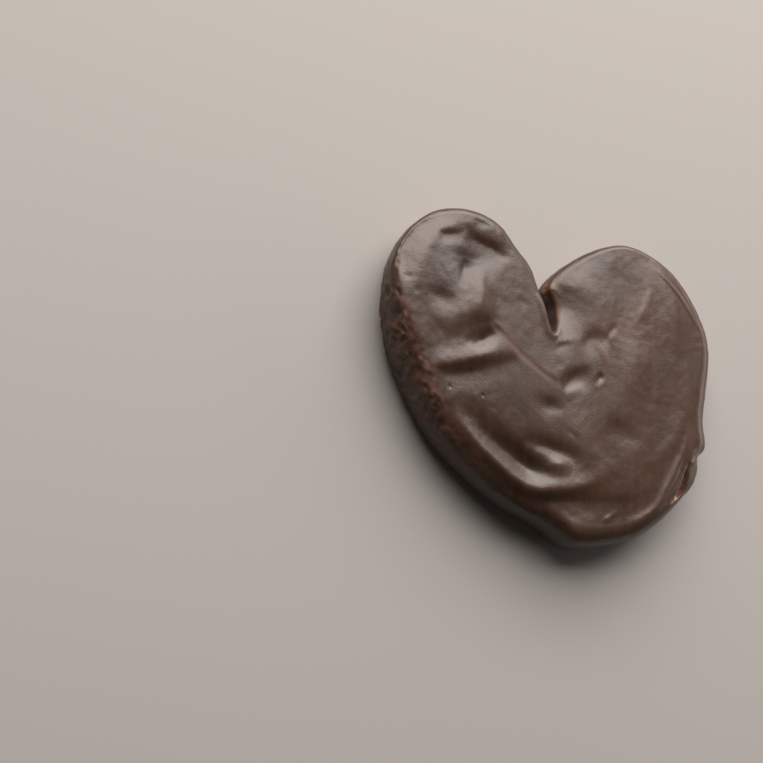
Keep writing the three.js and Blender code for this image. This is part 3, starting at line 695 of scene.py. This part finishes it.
# The left and far walls are blistered, the right one and the point run smoother.
blisters = {
    "sideShare": 0.2,          # how blistered a wall is that faces neither left nor away
    "farShare": 0.2,           # a wall that faces away counts so much of one that faces left
    "least": 0.12,
    "point": (-48, -8, 0.3),   # from this y to that one they come up from so much
    "top": (26, 42, 0.25),     # and here they go down to so much
    "drift": [(8, 0.3, 14)],   # how their upper edge wanders: size, height and seed
    "ends": (0.3, 0.75),       # they end there, as a share of the way over the shoulder
    "thinEnds": (0.6, 1),      # and the thin coat there
    "thinLeast": 0.2,          # thin everywhere on the wall, and more in patches
    "thinPatches": [(2.2, 1.3, 22)],
    "thinSwells": 1.2,         # more on the swells
    "thinFrom": (-0.5, 0.5),   # from bare of patches to full of them
    "swells": 0.5,             # how high the swells are, their size and seed
    "swellNoise": (5.5, 3),
    "pebbles": 0.8,            # how high the blisters are
    "pebbleLayers": [(2.3, 0.7, 4), (1.5, 0.4, 15)],  # size, share and seed
    "lumpLayers": [(2.8, 0.9, 17)],
    "pebbleMean": 0.6,
    "crowds": [(6.5, 1.6, 18)],  # they crowd together and thin out
    "crowdFrom": (-0.6, 0.4),
    "crowdLeast": 0.35,        # and so much of them is left where they are thinnest
    "pits": 0.5,               # how deep the pits are, their size and seed
    "pitNoise": (2.4, 5),
    "pitFrom": (0.25, 0.55),
    "deepest": 0.8,            # nothing goes deeper
}


# Distance to a stroke, its height at the nearest place and the side that the point is on.
def nearStroke(rings, name):
    points = faceStrokes[name][0]
    steps = (len(points) - 1) * heart["strokeSteps"]
    chain = openCurve(points, np.linspace(0, 1, steps + 1))
    found = nearestOn(chain, chain[1:], rings[:, :, :2].reshape(-1, 2))
    return [part.reshape(rings.shape[:2]) for part in found]


def strokeRelief(rings):
    total = np.zeros(rings.shape[:2])
    for name, (_, leftReach, rightReach) in faceStrokes.items():
        distance, height, side = nearStroke(rings, name)
        total += height * np.exp(-(distance / np.where(side > 0, leftReach, rightReach)) ** 2)
    return total


# 1 at the centre and gone outside its reach.
def spot(points, centre, reach):
    return np.exp(-np.sum((points - centre) ** 2, axis=2) / reach**2)


def pushWall(points, outward):
    for x, y, z, reach, push in chocolateCoat["wallMarks"]:
        near = spot(points, (x, y, z), reach)
        points[:, :, :2] += (push * near)[:, :, None] * outward[None]


def lowerEdge(turn):
    angle = turn * 2 * np.pi
    wave = sum(share * np.sin(count * angle + phase)
               for count, phase, share in chocolateCoat["edgeWaves"])
    return chocolateCoat["edgeZ"] + chocolateCoat["edgeWave"] * wave


# The lowest value within so many points and rings.
def heldLow(field, reach):
    low = field.copy()
    around = range(-reach, reach + 1, heart["calmEvery"])
    for j in around:
        rows = np.clip(np.arange(len(field)) + j, 0, len(field) - 1)
        for k in around:
            low = np.minimum(low, np.roll(field[rows], k, 1))
    return low


# How far the skin stands out of its smooth form, its swells, and where the wall is thinly coated.
def skinPush(places, flat, bumped, lift, inland):
    c, w = chocolateCoat, blisters
    (left, away), (x, y) = places["near"].T * [[-1], [1]], places["xy"].T
    rough = np.clip(w["sideShare"] + (1 - w["sideShare"]) * np.maximum(left, w["farShare"] * away),
                    w["least"], 1)
    low, high, share = w["point"]
    rough *= share + (1 - share) * ramp(y, low, high)
    low, high, share = w["top"]
    rough *= 1 - (1 - share) * ramp(y, low, high)
    cleftX, cleftY, reach = c["calmCleft"]
    rough *= ramp(np.hypot(x - cleftX, y - cleftY) / reach, 1, 2)
    drifting = inland + layered(flat, w["drift"])
    wall = (1 - ramp(drifting, *w["ends"])) * rough[None]
    thinned = (1 - ramp(drifting, *w["thinEnds"])) * rough[None]

    swells = lumps(flat, *w["swellNoise"])
    bumps = layered(bumped, w["pebbleLayers"], pebbles) + layered(bumped, w["lumpLayers"])
    crowded = ramp(layered(flat, w["crowds"]), *w["crowdFrom"])
    crowded = w["crowdLeast"] + (1 - w["crowdLeast"]) * crowded
    pits = ramp(lumps(flat, *w["pitNoise"]), *w["pitFrom"])
    push = layered(flat, c["uneven"]) + wall * (
        w["swells"] * swells + w["pebbles"] * crowded * (bumps - w["pebbleMean"]))
    push = np.maximum(push - wall * w["pits"] * pits, -w["deepest"])
    collarAt, collarWidth, collarHeight = c["collar"]
    for x, y, radius, depth in pinholes:
        near = np.hypot(flat[:, :, 0] - x, flat[:, :, 1] - y) / radius
        collar = collarHeight * np.exp(-((near - collarAt) / collarWidth) ** 2)
        push = push + lift * depth * (collar - np.exp(-near**2))
    return push, swells, thinned


# Closes the outer skin over the hidden one inside it, with a lip that rounds over between them.
def closedShell(outer, inner, everyPoint):
    lipRings, lipDrop = chocolateCoat["lipRings"], chocolateCoat["lipDrop"]
    rows, count = outer.shape[:2]
    innerRows, innerCount = inner.shape[:2]
    lipStart = rows * count
    innerStart = lipStart + lipRings * count
    points = [outer.reshape(-1, 3)]
    faces = gridFaces(0, rows, count) + zipFaces(outer[-1], (rows - 1) * count)
    innerFoot = np.repeat(inner[0], everyPoint, axis=0)
    for s in range(everyPoint):
        part = s / everyPoint
        innerFoot[s::everyPoint] = inner[0] * (1 - part) + np.roll(inner[0], -1, 0) * part
    last = np.arange(count)
    for j in range(lipRings):
        angle = math.pi * (j + 1) / (lipRings + 1)
        ring = (outer[0] + innerFoot) / 2 + (outer[0] - innerFoot) / 2 * math.cos(angle)
        ring[:, 2] -= lipDrop * math.sin(angle)
        points.append(ring)
        low = lipStart + j * count + np.arange(count)
        faces += bandFaces(low, last)
        last = low
    points.append(inner.reshape(-1, 3))
    # several points of the lip meet each one of the hidden side
    half = everyPoint // 2
    for i in range(innerCount):
        mine, following = innerStart + i, innerStart + (i + 1) % innerCount
        corners = [int(last[(i * everyPoint + s) % count]) for s in range(everyPoint + 1)]
        faces += [[mine, corners[s + 1], corners[s]] for s in range(half)]
        faces.append([mine, following, corners[half]])
        faces += [[following, corners[s + 1], corners[s]] for s in range(half, everyPoint)]
    back = gridFaces(innerStart, innerRows, innerCount)
    back += zipFaces(inner[-1], innerStart + (innerRows - 1) * innerCount)
    return np.vstack(points), faces + [face[::-1] for face in back]


# What the material reads on each point of the outer skin.
def skinTints(flat, outer, relief, inland, swells, thinned):
    c, w = chocolateCoat, blisters
    xy = outer[:, :, :2]
    x, y, reach = c["calmCleft"]
    inCleft = spot(xy, (x, y), reach) * (1 - ramp(inland, *c["cleftEnds"]))
    patches = layered(outer, w["thinPatches"]) + w["thinSwells"] * swells
    patches = ramp(patches, *w["thinFrom"])
    thin = thinned * (w["thinLeast"] + (1 - w["thinLeast"]) * patches)
    thin = np.maximum(thin, c["cleftThin"] * inCleft)
    for name, reach, share in c["thinLines"]:
        distance, height, _ = nearStroke(flat, name)
        line = share * np.exp(-(distance / reach) ** 2)
        line *= ramp(np.abs(height), 0, c["thinLinesFade"])
        thin = np.maximum(thin, line)
    bare, scaly = np.zeros(xy.shape[:2]), np.zeros(xy.shape[:2])
    for x, y, z, reach, share in c["torn"]:
        near = np.exp(-np.sum(((outer - (x, y, z)) / (reach, reach, 2 * reach)) ** 2, axis=2))
        bare = np.maximum(bare, near * share)
    for x, y, reach, share in c["scales"]:
        scaly = np.maximum(scaly, share * spot(xy, (x, y), reach))
    # painted light and shade: lighter on the ridges of the relief, darker in its hollows
    least, more, byRelief = c["spread"]
    spread = least + more * ramp(xy[:, :, 0], *c["spreadX"]) + byRelief * np.clip(relief, -1, 1)
    # painted highlights and painted shade at the listed places
    for x, y, reach, share in c["paintedHighlightsAndShade"]:
        spread += share * spot(xy, (x, y), reach)
    # the scaly band also gets a painted highlight in its lightness
    return {"thinCoat": thin, "bareCrust": bare, "scaly": scaly,
            "lightnessWithPaintedLight": spread + c["scalesPaintedHighlight"] * scaly}


def makeChocolateCoat():
    c = chocolateCoat
    places = walkOutline(c["around"])
    flat, lift, inland = smoothSkin(places, c["rings"], lowerEdge(places["turn"]), c["faceEnd"])
    relief = strokeRelief(flat) * lift
    bumped = flat.copy()
    bumped[:, :, 2] += relief
    pushWall(bumped, places["near"])
    push, swells, thinned = skinPush(places, flat, bumped, lift, inland)
    outer = bumped + ringNormals(bumped) * push[:, :, None]

    hidden = flat.copy()
    hidden[:, :, 2] += heldLow(relief, c["innerCalm"])
    pushWall(hidden, places["near"])
    everyPoint, everyRing = c["innerEvery"]
    keep = sorted({*range(0, len(flat), everyRing), len(flat) - 1})
    inner = (hidden - ringNormals(hidden) * c["thickness"])[keep][:, ::everyPoint]
    points, faces = closedShell(outer, inner, everyPoint)

    tints = skinTints(flat, outer, relief, inland, swells, thinned)
    for name, values in tints.items():
        tints[name] = np.concatenate([values.ravel(), np.zeros(len(points) - values.size)])
    # painted shade low on the wall: the coat is drawn darker towards the foot
    low, high, share = c["footShadeHeights"]
    height = points[:, 2] + layered(points, c["footShadeEdge"])
    tints["paintedFootShade"] = share * (1 - ramp(height, low, high))
    return makeObject("chocolateShell", points, faces, chocolate, tints)


chocolateShell = makeChocolateCoat()
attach(chocolateShell, "root")
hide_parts("chocolate_coat")
print("chocolate coat:", len(chocolateShell.data.polygons), "faces")


# The baked pastry. Lengths are in mm.
bakedBody = {
    "around": 380,
    "rings": (6, 16, 26),
    "faceEnd": 0.985,
    "edgeHigher": 1,         # how much higher than the coat's edge its rings start
    "depth": 1.05,           # how far inside the chocolate's outer skin the crust lies
    "heldDeeper": 0.5,       # further in under the face
    "calm": 3,               # points and rings over which it keeps to the lowest relief
    "footRings": 14,
    "bareRings": 9,          # so many of them show under the chocolate
    "footZ": 0.7,            # height of the lowest of them
    "footRound": (0.8, 2.5),  # how far the foot rounds in, over so many rings
    "footFlakes": 0.28,      # how far the layers of the foot stand out
    "footLayers": [((9, 9, 0.9), 1, 6), ((3, 3, 0.5), 0.5, 7)],  # size, share and seed
    "underRings": 96,
    "underFrom": 0.02,       # share of the way from the foot to the spine where they start
    "underOver": 0.965,      # and that they cover
    "layers": 4,             # the broad grooves between the rolled layers
    "layersEnd": 0.74,
    "layersWander": [(15, 0.16, 19)],
    "groove": (0.81, 0.13),  # its place in a layer and its width, as shares of the layer
    "grooveDepth": 2.0,
    "grooveLeast": 0.55,     # it closes to so much of its depth and opens again
    "grooveOpens": [(12, 1.5, 20)],
    "openFrom": (-0.6, 0.4),
    "leafPitch": 1.5,        # between the thin leaves of a layer
    "leafDepth": 0.35,
    "leafWander": [(11, 0.8, 8), (4, 0.35, 9)],
    "leafStart": 0.03,       # they rise over this share of the way
    "bubbles": (5, 0.25, 10, -0.1),  # size, height, seed and start in the noise
    "underZ": 0.35,          # the underside stands on the edges of its leaves
    # how browned it is from 0 to 1, and how much more at the foot, over so many mm
    "browned": {"top": 0.3, "foot": 0.25, "under": 0.7},
    "footBrowner": (0.3, 2),
    "footPatches": [((7, 7, 1), 0.35, 11)],
    # pale up the grooves and darker again in their depth: how much, and the heights in mm
    "groovePaler": (0.75, 0, 0.8),
    "grooveDarker": (1.1, 0.9, 1.9),
    "underPatches": [(16, 0.8, 12), (5, 0.3, 21)],
}


# A ring of the pastry's wall at that height.
def wallRing(places, z):
    inset = bakedBody["depth"] + heart["baseInset"] * (1 - z / places["wide"]) ** 2
    return np.column_stack([ringPoint(places, inset), np.broadcast_to(z, places["count"])])


# The flaky foot, up to where the crust goes on under the chocolate.
def makeFoot(places, top):
    b = bakedBody
    foot = []
    roundIn, roundOver = b["footRound"]
    for j in range(b["footRings"]):
        ring = wallRing(places, b["footZ"] + (top - b["footZ"]) * (j / b["footRings"]))
        move = b["footFlakes"] * layered(ring, b["footLayers"])
        move -= roundIn * (1 - ramp(j, 0, roundOver))
        ring[:, :2] += places["near"] * move[:, None]
        foot.append(ring)
    foot = np.array(foot)
    pushWall(foot, places["near"])
    return foot


# The underside from its edge to the spine: the grooves between the rolled layers, and in the
# layers thin leaves with bubbles between them.
def makeUnderside(places):
    b = bakedBody
    base = wallRing(places, np.zeros(places["count"]))
    spine = np.column_stack([places["inner"], np.zeros(places["count"])])
    share = b["underFrom"] + b["underOver"] * np.arange(b["underRings"] + 1) / b["underRings"]
    share = share[:, None]
    under = base * (1 - share[:, :, None]) + spine * share[:, :, None]
    inland = np.linalg.norm(under - base, axis=2)
    cycle = share / b["layersEnd"] * b["layers"] + layered(under, b["layersWander"])
    opening = ramp(layered(under, b["grooveOpens"]), *b["openFrom"])
    opening = b["grooveLeast"] + (1 - b["grooveLeast"]) * opening
    place, width = b["groove"]
    groove = np.exp(-(((cycle % 1) - place) / width) ** 2) * b["grooveDepth"] * opening
    groove *= cycle < b["layers"]
    leaf = np.abs(((inland / b["leafPitch"] + layered(under, b["leafWander"])) % 1) - 0.5) * 2
    size, height, seed, start = b["bubbles"]
    rise = b["leafDepth"] * leaf**2 + height * np.maximum(lumps(under, size, seed) - start, 0)
    under[:, :, 2] = b["underZ"] + groove + rise * ramp(share, 0, b["leafStart"])
    return under


def makeBakedBody():
    b = bakedBody
    places = walkOutline(b["around"])
    flat, lift, _ = smoothSkin(places, b["rings"], lowerEdge(places["turn"]) + b["edgeHigher"],
                               b["faceEnd"])
    rows, count = flat.shape[:2]
    flat[:, :, 2] += heldLow(strokeRelief(flat) * lift, b["calm"])
    pushWall(flat, places["near"])
    depth = b["depth"] + b["heldDeeper"] * lift
    skin = flat - ringNormals(flat) * depth[:, :, None]
    foot, under = makeFoot(places, skin[0, :, 2]), makeUnderside(places)

    points = np.vstack([skin.reshape(-1, 3), foot.reshape(-1, 3), under.reshape(-1, 3)])
    footStart = rows * count
    footEnd = footStart + (len(foot) - 1) * count
    underStart = footEnd + count
    k = np.arange(count)
    faces = gridFaces(0, rows, count) + zipFaces(skin[-1], (rows - 1) * count)
    faces += gridFaces(footStart, len(foot), count)
    faces += bandFaces(footEnd + k, k)
    faces += bandFaces(underStart + k, footStart + k)
    below = gridFaces(underStart, len(under), count)
    below += zipFaces(under[-1], underStart + (len(under) - 1) * count)
    faces += [face[::-1] for face in below]

    browned = np.full(len(points), b["browned"]["top"])
    more, over = b["footBrowner"]
    browned[footStart:underStart] = (b["browned"]["foot"] + layered(foot, b["footPatches"])
                                     + more * (1 - ramp(foot[:, :, 2], 0, over))).ravel()
    height = under[:, :, 2] - b["underZ"]
    paler, darker = (share * ramp(height, low, high)
                     for share, low, high in (b["groovePaler"], b["grooveDarker"]))
    browned[underStart:] = (b["browned"]["under"] - paler + darker
                            + layered(under, b["underPatches"])).ravel()
    obj = makeObject("bakedBody", points, faces, pastry, {"browned": np.clip(browned, 0, 1)})
    return obj, foot, under


bakedPiece, footRings, underRings = makeBakedBody()
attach(bakedPiece, "root")
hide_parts("pastry")
print("baked body:", len(bakedPiece.data.polygons), "faces")


# The thin leaves of the pastry, and its loose flakes.
pastryLeaves = {
    # half the width and half the height of a leaf, how far it strays, in mm, and how browned it is
    "footLeaves": {"half": (0.5, 0.2), "wander": 1.1, "browned": 0.25},
    "undersideLeaves": {"half": (0.34, 0.3), "wander": 2.2, "browned": 0.75},
    "footRows": (1, 3),     # leaves stand out along the foot from this ring on, every so many
    "underRows": (2, 4),    # and along the underside
    "lowered": 0.06,        # mm that those of the underside hang lower than it
    "step": 1.1,            # mm between the points of a leaf
    "unevenness": 0.95,     # how much thinner and thicker it gets
    "unevenFrom": (0.35, 0.68),
    "upShare": 0.3,         # it strays so much less up and down
    "corners": 6,
    "strayScale": 210,      # noise on each metre: for the straying, the thickness and the browning
    "thickScale": 330,
    "brownScale": 70,
    "brownMore": 2.4,
    "seed": 5,
}

looseFlakes = {
    "density": 0.22,        # on each square millimetre of the foot
    "smallest": (0.3, 0.2, 0.05),  # half the sides, in mm
    "largest": (0.8, 0.5, 0.14),
    "tilt": 0.5,            # radians
    "round": 6.283,         # they lie any way round
    "seed": 9,
}


def newTree(name, inputs):
    tree = bpy.data.node_groups.new(name, "GeometryNodeTree")
    tree.interface.new_socket("Geometry", in_out="INPUT", socket_type="NodeSocketGeometry")
    for label, kind in inputs:
        tree.interface.new_socket(label, in_out="INPUT", socket_type="NodeSocket" + kind)
    tree.interface.new_socket("Geometry", in_out="OUTPUT", socket_type="NodeSocketGeometry")
    return tree, addNode(tree, "NodeGroupInput").outputs


def endTree(tree, geometry, given):
    real = addNode(tree, "GeometryNodeRealizeInstances", {"Geometry": geometry})
    smooth = addNode(tree, "GeometryNodeSetShadeSmooth", {"Geometry": real.outputs["Geometry"]})
    dressed = addNode(tree, "GeometryNodeSetMaterial", {
        "Geometry": smooth.outputs["Geometry"], "Material": given["Material"]})
    addNode(tree, "NodeGroupOutput", {"Geometry": dressed.outputs["Geometry"]})


# Sweeps a flat leaf along every path, straying and getting thinner as it goes.
def leafTree():
    p = pastryLeaves
    tree, given = newTree("leavesAlongPaths", [
        ("Step", "Float"), ("Half Width", "Float"), ("Half Height", "Float"), ("Wander", "Float"),
        ("Unevenness", "Float"), ("Browned", "Float"), ("Seed", "Int"), ("Material", "Material")])
    paths = addNode(tree, "GeometryNodeMeshToCurve", {"Mesh": given["Geometry"]})
    even = addNode(tree, "GeometryNodeResampleCurve", {
        "Curve": paths.outputs["Curve"], "Length": given["Step"]}, mode="LENGTH")
    stray = addNode(tree, "ShaderNodeTexNoise", {
        "W": given["Seed"], "Scale": p["strayScale"], "Detail": 3}, noise_dimensions="4D")
    centred = addNode(tree, "ShaderNodeVectorMath", {
        0: stray.outputs["Color"], 1: (0.5, 0.5, 0.5)}, operation="SUBTRACT")
    level = addNode(tree, "ShaderNodeVectorMath", {
        0: centred.outputs["Vector"], 1: (1, 1, p["upShare"])}, operation="MULTIPLY")
    strayed = addNode(tree, "ShaderNodeVectorMath", {
        0: level.outputs["Vector"], "Scale": given["Wander"]}, operation="SCALE")
    moved = addNode(tree, "GeometryNodeSetPosition", {
        "Geometry": even.outputs["Curve"], "Offset": strayed.outputs["Vector"]})
    thick = addNode(tree, "ShaderNodeTexNoise", {
        "W": given["Seed"], "Scale": p["thickScale"], "Detail": 2}, noise_dimensions="4D")
    thinnest, thickest = (
        addNode(tree, "ShaderNodeMath", {0: 1.0, 1: given["Unevenness"]}, operation=way)
        for way in ("SUBTRACT", "ADD"))
    share = addNode(tree, "ShaderNodeMapRange", {
        "Value": thick.outputs["Fac"], "From Min": p["unevenFrom"][0],
        "From Max": p["unevenFrom"][1], "To Min": thinnest.outputs[0],
        "To Max": thickest.outputs[0]})
    sized = addNode(tree, "GeometryNodeSetCurveRadius", {
        "Curve": moved.outputs["Geometry"], "Radius": share.outputs["Result"]})
    upright = addNode(tree, "GeometryNodeSetCurveNormal", {"Curve": sized.outputs["Curve"]},
                      mode="Z_UP")
    ring = addNode(tree, "GeometryNodeCurvePrimitiveCircle", {
        "Resolution": p["corners"], "Radius": 1})
    sizes = addNode(tree, "ShaderNodeCombineXYZ", {
        "X": given["Half Width"], "Y": given["Half Height"], "Z": 1})
    section = addNode(tree, "GeometryNodeTransform", {
        "Geometry": ring.outputs["Curve"], "Scale": sizes.outputs["Vector"]})
    swept = addNode(tree, "GeometryNodeCurveToMesh", {
        "Curve": upright.outputs["Curve"], "Profile Curve": section.outputs["Geometry"],
        "Fill Caps": True})
    patches = addNode(tree, "ShaderNodeTexNoise", {"Scale": p["brownScale"], "Detail": 2})
    patchy = addNode(tree, "ShaderNodeMath", {0: patches.outputs["Fac"], 1: 0.5},
                     operation="SUBTRACT")
    browned = addNode(tree, "ShaderNodeMath", {
        0: patchy.outputs[0], 1: p["brownMore"], 2: given["Browned"]}, operation="MULTIPLY_ADD")
    stored = addNode(tree, "GeometryNodeStoreNamedAttribute", {
        "Geometry": swept.outputs["Mesh"], "Name": "browned", "Value": browned.outputs[0]})
    endTree(tree, stored.outputs["Geometry"], given)
    return tree


# Strews thin flakes over the faces.
def flakeTree():
    tilt, around = looseFlakes["tilt"], looseFlakes["round"]
    tree, given = newTree("flakesOnFaces", [
        ("Density", "Float"), ("Smallest", "Vector"), ("Largest", "Vector"), ("Seed", "Int"),
        ("Material", "Material")])
    strewn = addNode(tree, "GeometryNodeDistributePointsOnFaces", {
        "Mesh": given["Geometry"], "Density": given["Density"], "Seed": given["Seed"]})
    flake = addNode(tree, "GeometryNodeMeshIcoSphere", {"Radius": 1, "Subdivisions": 1})
    turns = addNode(tree, "FunctionNodeRandomValue", {
        0: (-tilt, -tilt, 0), 1: (tilt, tilt, around), "Seed": given["Seed"]},
        data_type="FLOAT_VECTOR")
    lying = addNode(tree, "FunctionNodeRotateRotation", {
        "Rotation": strewn.outputs["Rotation"], "Rotate By": turns.outputs[0]},
        rotation_space="LOCAL")
    sizes = addNode(tree, "FunctionNodeRandomValue", {
        0: given["Smallest"], 1: given["Largest"], "Seed": given["Seed"]},
        data_type="FLOAT_VECTOR")
    laid = addNode(tree, "GeometryNodeInstanceOnPoints", {
        "Points": strewn.outputs["Points"], "Instance": flake.outputs["Mesh"],
        "Rotation": lying.outputs["Rotation"], "Scale": sizes.outputs[0]})
    endTree(tree, laid.outputs["Instances"], given)
    return tree


# Runs the tree on the object and keeps its result as the object's mesh.
def grow(obj, tree, values):
    modifier = obj.modifiers.new(tree.name, "NODES")
    modifier.node_group = tree
    for item in tree.interface.items_tree:
        if item.in_out == "INPUT" and item.name in values:
            modifier[item.identifier] = values[item.name]
    evaluated = obj.evaluated_get(bpy.context.evaluated_depsgraph_get())
    grown = bpy.data.meshes.new_from_object(evaluated)
    obj.modifiers.remove(modifier)
    obj.data = grown
    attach(obj, "root")
    print(obj.name + ":", len(grown.polygons), "faces")


# Leaves along closed rings of points.
def makeLeaves(name, rings, tree):
    p, own = pastryLeaves, pastryLeaves[name]
    halfWidth, halfHeight = own["half"]
    points = np.arange(rings.shape[0] * rings.shape[1]).reshape(rings.shape[:2])
    edges = np.stack([points, np.roll(points, -1, 1)], 2).reshape(-1, 2).tolist()
    paths = makeObject(name, rings.reshape(-1, 3), [], edges=edges)
    grow(paths, tree, {
        "Step": p["step"] / 1000, "Half Width": halfWidth / 1000,
        "Half Height": halfHeight / 1000, "Wander": own["wander"] / 1000,
        "Browned": own["browned"], "Unevenness": p["unevenness"], "Seed": p["seed"],
        "Material": pastry})


leavesAlong = leafTree()
bareFoot = footRings[:bakedBody["bareRings"]]
firstRow, everyRow = pastryLeaves["footRows"]
makeLeaves("footLeaves", bareFoot[firstRow::everyRow], leavesAlong)
firstRow, everyRow = pastryLeaves["underRows"]
lowered = underRings[firstRow::everyRow] - np.array([0, 0, pastryLeaves["lowered"]])
makeLeaves("undersideLeaves", lowered, leavesAlong)

footBand = makeObject("footFlakes", bareFoot.reshape(-1, 3),
                      gridFaces(0, len(bareFoot), bareFoot.shape[1]))
grow(footBand, flakeTree(), {
    "Density": looseFlakes["density"] * 1e6, "Seed": looseFlakes["seed"], "Material": pastry,
    "Smallest": tuple(v / 1000 for v in looseFlakes["smallest"]),
    "Largest": tuple(v / 1000 for v in looseFlakes["largest"])})


# Floor, light and camera.
studio = {
    "floor": "#8d8c8a",
    "floorRoughness": 0.9,
    "floorSheen": 0.2,    # specular level
    "floorSize": 4.0,     # metres
    "worldColour": "#fff1e6",
    "lightColour": "#fff5ef",
    "worldStrength": 0.07,
    # name, place, aim, width and height in metres, watts
    "lights": [
        ("keySoftbox", (0.05, 0.84, 0.88), (0, 0, 0.01), 1.6, 1.1, 44.0),
        ("backPanel", (0.2, 1.5, 0.42), (0, 0, 0.01), 3.0, 0.8, 26.0),
        ("sidePanel", (1.5, 0.2, 0.35), (0, 0, 0.01), 1.4, 0.5, 8.0),
    ],
    "yaw": 25,            # degrees the camera stands to the left
    "pitch": 8,           # and towards the point of the heart
    "lens": 85,
    "sensor": 36,
    "distance": 0.6798,   # metres
    "aim": (0, 0, 12),    # on the drawing, in mm
    "aimAt": (545, 378),  # where the aim falls in a render of so many pixels each way
    "picture": 763,
    "clip": (0.05, 20),   # metres
}


def makeFloor():
    half = studio["floorSize"] / 2
    mesh = bpy.data.meshes.new("floor")
    corners = [(-half, -half, 0), (half, -half, 0), (half, half, 0), (-half, half, 0)]
    mesh.from_pydata(corners, [], [(0, 1, 2, 3)])
    material, tree = newMaterial("matteFloor")
    shader = addNode(tree, "ShaderNodeBsdfPrincipled", {
        "Base Color": linearColour(studio["floor"]), "Roughness": studio["floorRoughness"],
        "Specular IOR Level": studio["floorSheen"]})
    addNode(tree, "ShaderNodeOutputMaterial", {"Surface": shader.outputs["BSDF"]})
    mesh.materials.append(material)
    floor = bpy.data.objects.new("floor", mesh)
    bpy.context.scene.collection.objects.link(floor)


def makeLights():
    world = bpy.data.worlds.new("studio")
    world.use_nodes = True
    background = world.node_tree.nodes["Background"]
    background.inputs["Color"].default_value = linearColour(studio["worldColour"])
    background.inputs["Strength"].default_value = studio["worldStrength"]
    bpy.context.scene.world = world
    for name, place, aim, width, height, watts in studio["lights"]:
        light = bpy.data.lights.new(name, "AREA")
        light.shape = "RECTANGLE"
        light.size, light.size_y, light.energy = width, height, watts
        light.color = linearColour(studio["lightColour"])[:3]
        obj = bpy.data.objects.new(name, light)
        obj.location = place
        obj.rotation_euler = (Vector(aim) - Vector(place)).to_track_quat("-Z", "Y").to_euler()
        bpy.context.scene.collection.objects.link(obj)


def makeCamera():
    yaw, pitch = math.radians(studio["yaw"]), math.radians(studio["pitch"])
    away = Vector((-math.sin(yaw) * math.cos(pitch), -math.sin(pitch),
                   math.cos(yaw) * math.cos(pitch)))
    up = (Vector((0, 1, 0)) - away * away.y).normalized()
    right = up.cross(away)
    aim = (Vector(studio["aim"]) - Vector((*heart["middle"], 0))) / 1000
    place = aim + away * studio["distance"]
    pixels = studio["lens"] / studio["sensor"] * studio["picture"]
    across, down = ((at - studio["picture"] / 2) / pixels * studio["distance"]
                    for at in studio["aimAt"])
    centre = aim - right * across + up * down
    back = (place - centre).normalized()
    up = (up - back * up.dot(back)).normalized()
    right = up.cross(back)
    camera = bpy.data.cameras.new("camera")
    camera.lens, camera.sensor_width = studio["lens"], studio["sensor"]
    camera.clip_start, camera.clip_end = studio["clip"]
    obj = bpy.data.objects.new("camera", camera)
    obj.matrix_world = Matrix([(right.x, up.x, back.x, place.x), (right.y, up.y, back.y, place.y),
                               (right.z, up.z, back.z, place.z), (0, 0, 0, 1)])
    bpy.context.scene.collection.objects.link(obj)
    bpy.context.scene.camera = obj


makeFloor()
makeLights()
makeCamera()
bpy.context.scene.view_settings.view_transform = "Standard"
bpy.context.scene.view_settings.look = "None"
print("studio set")
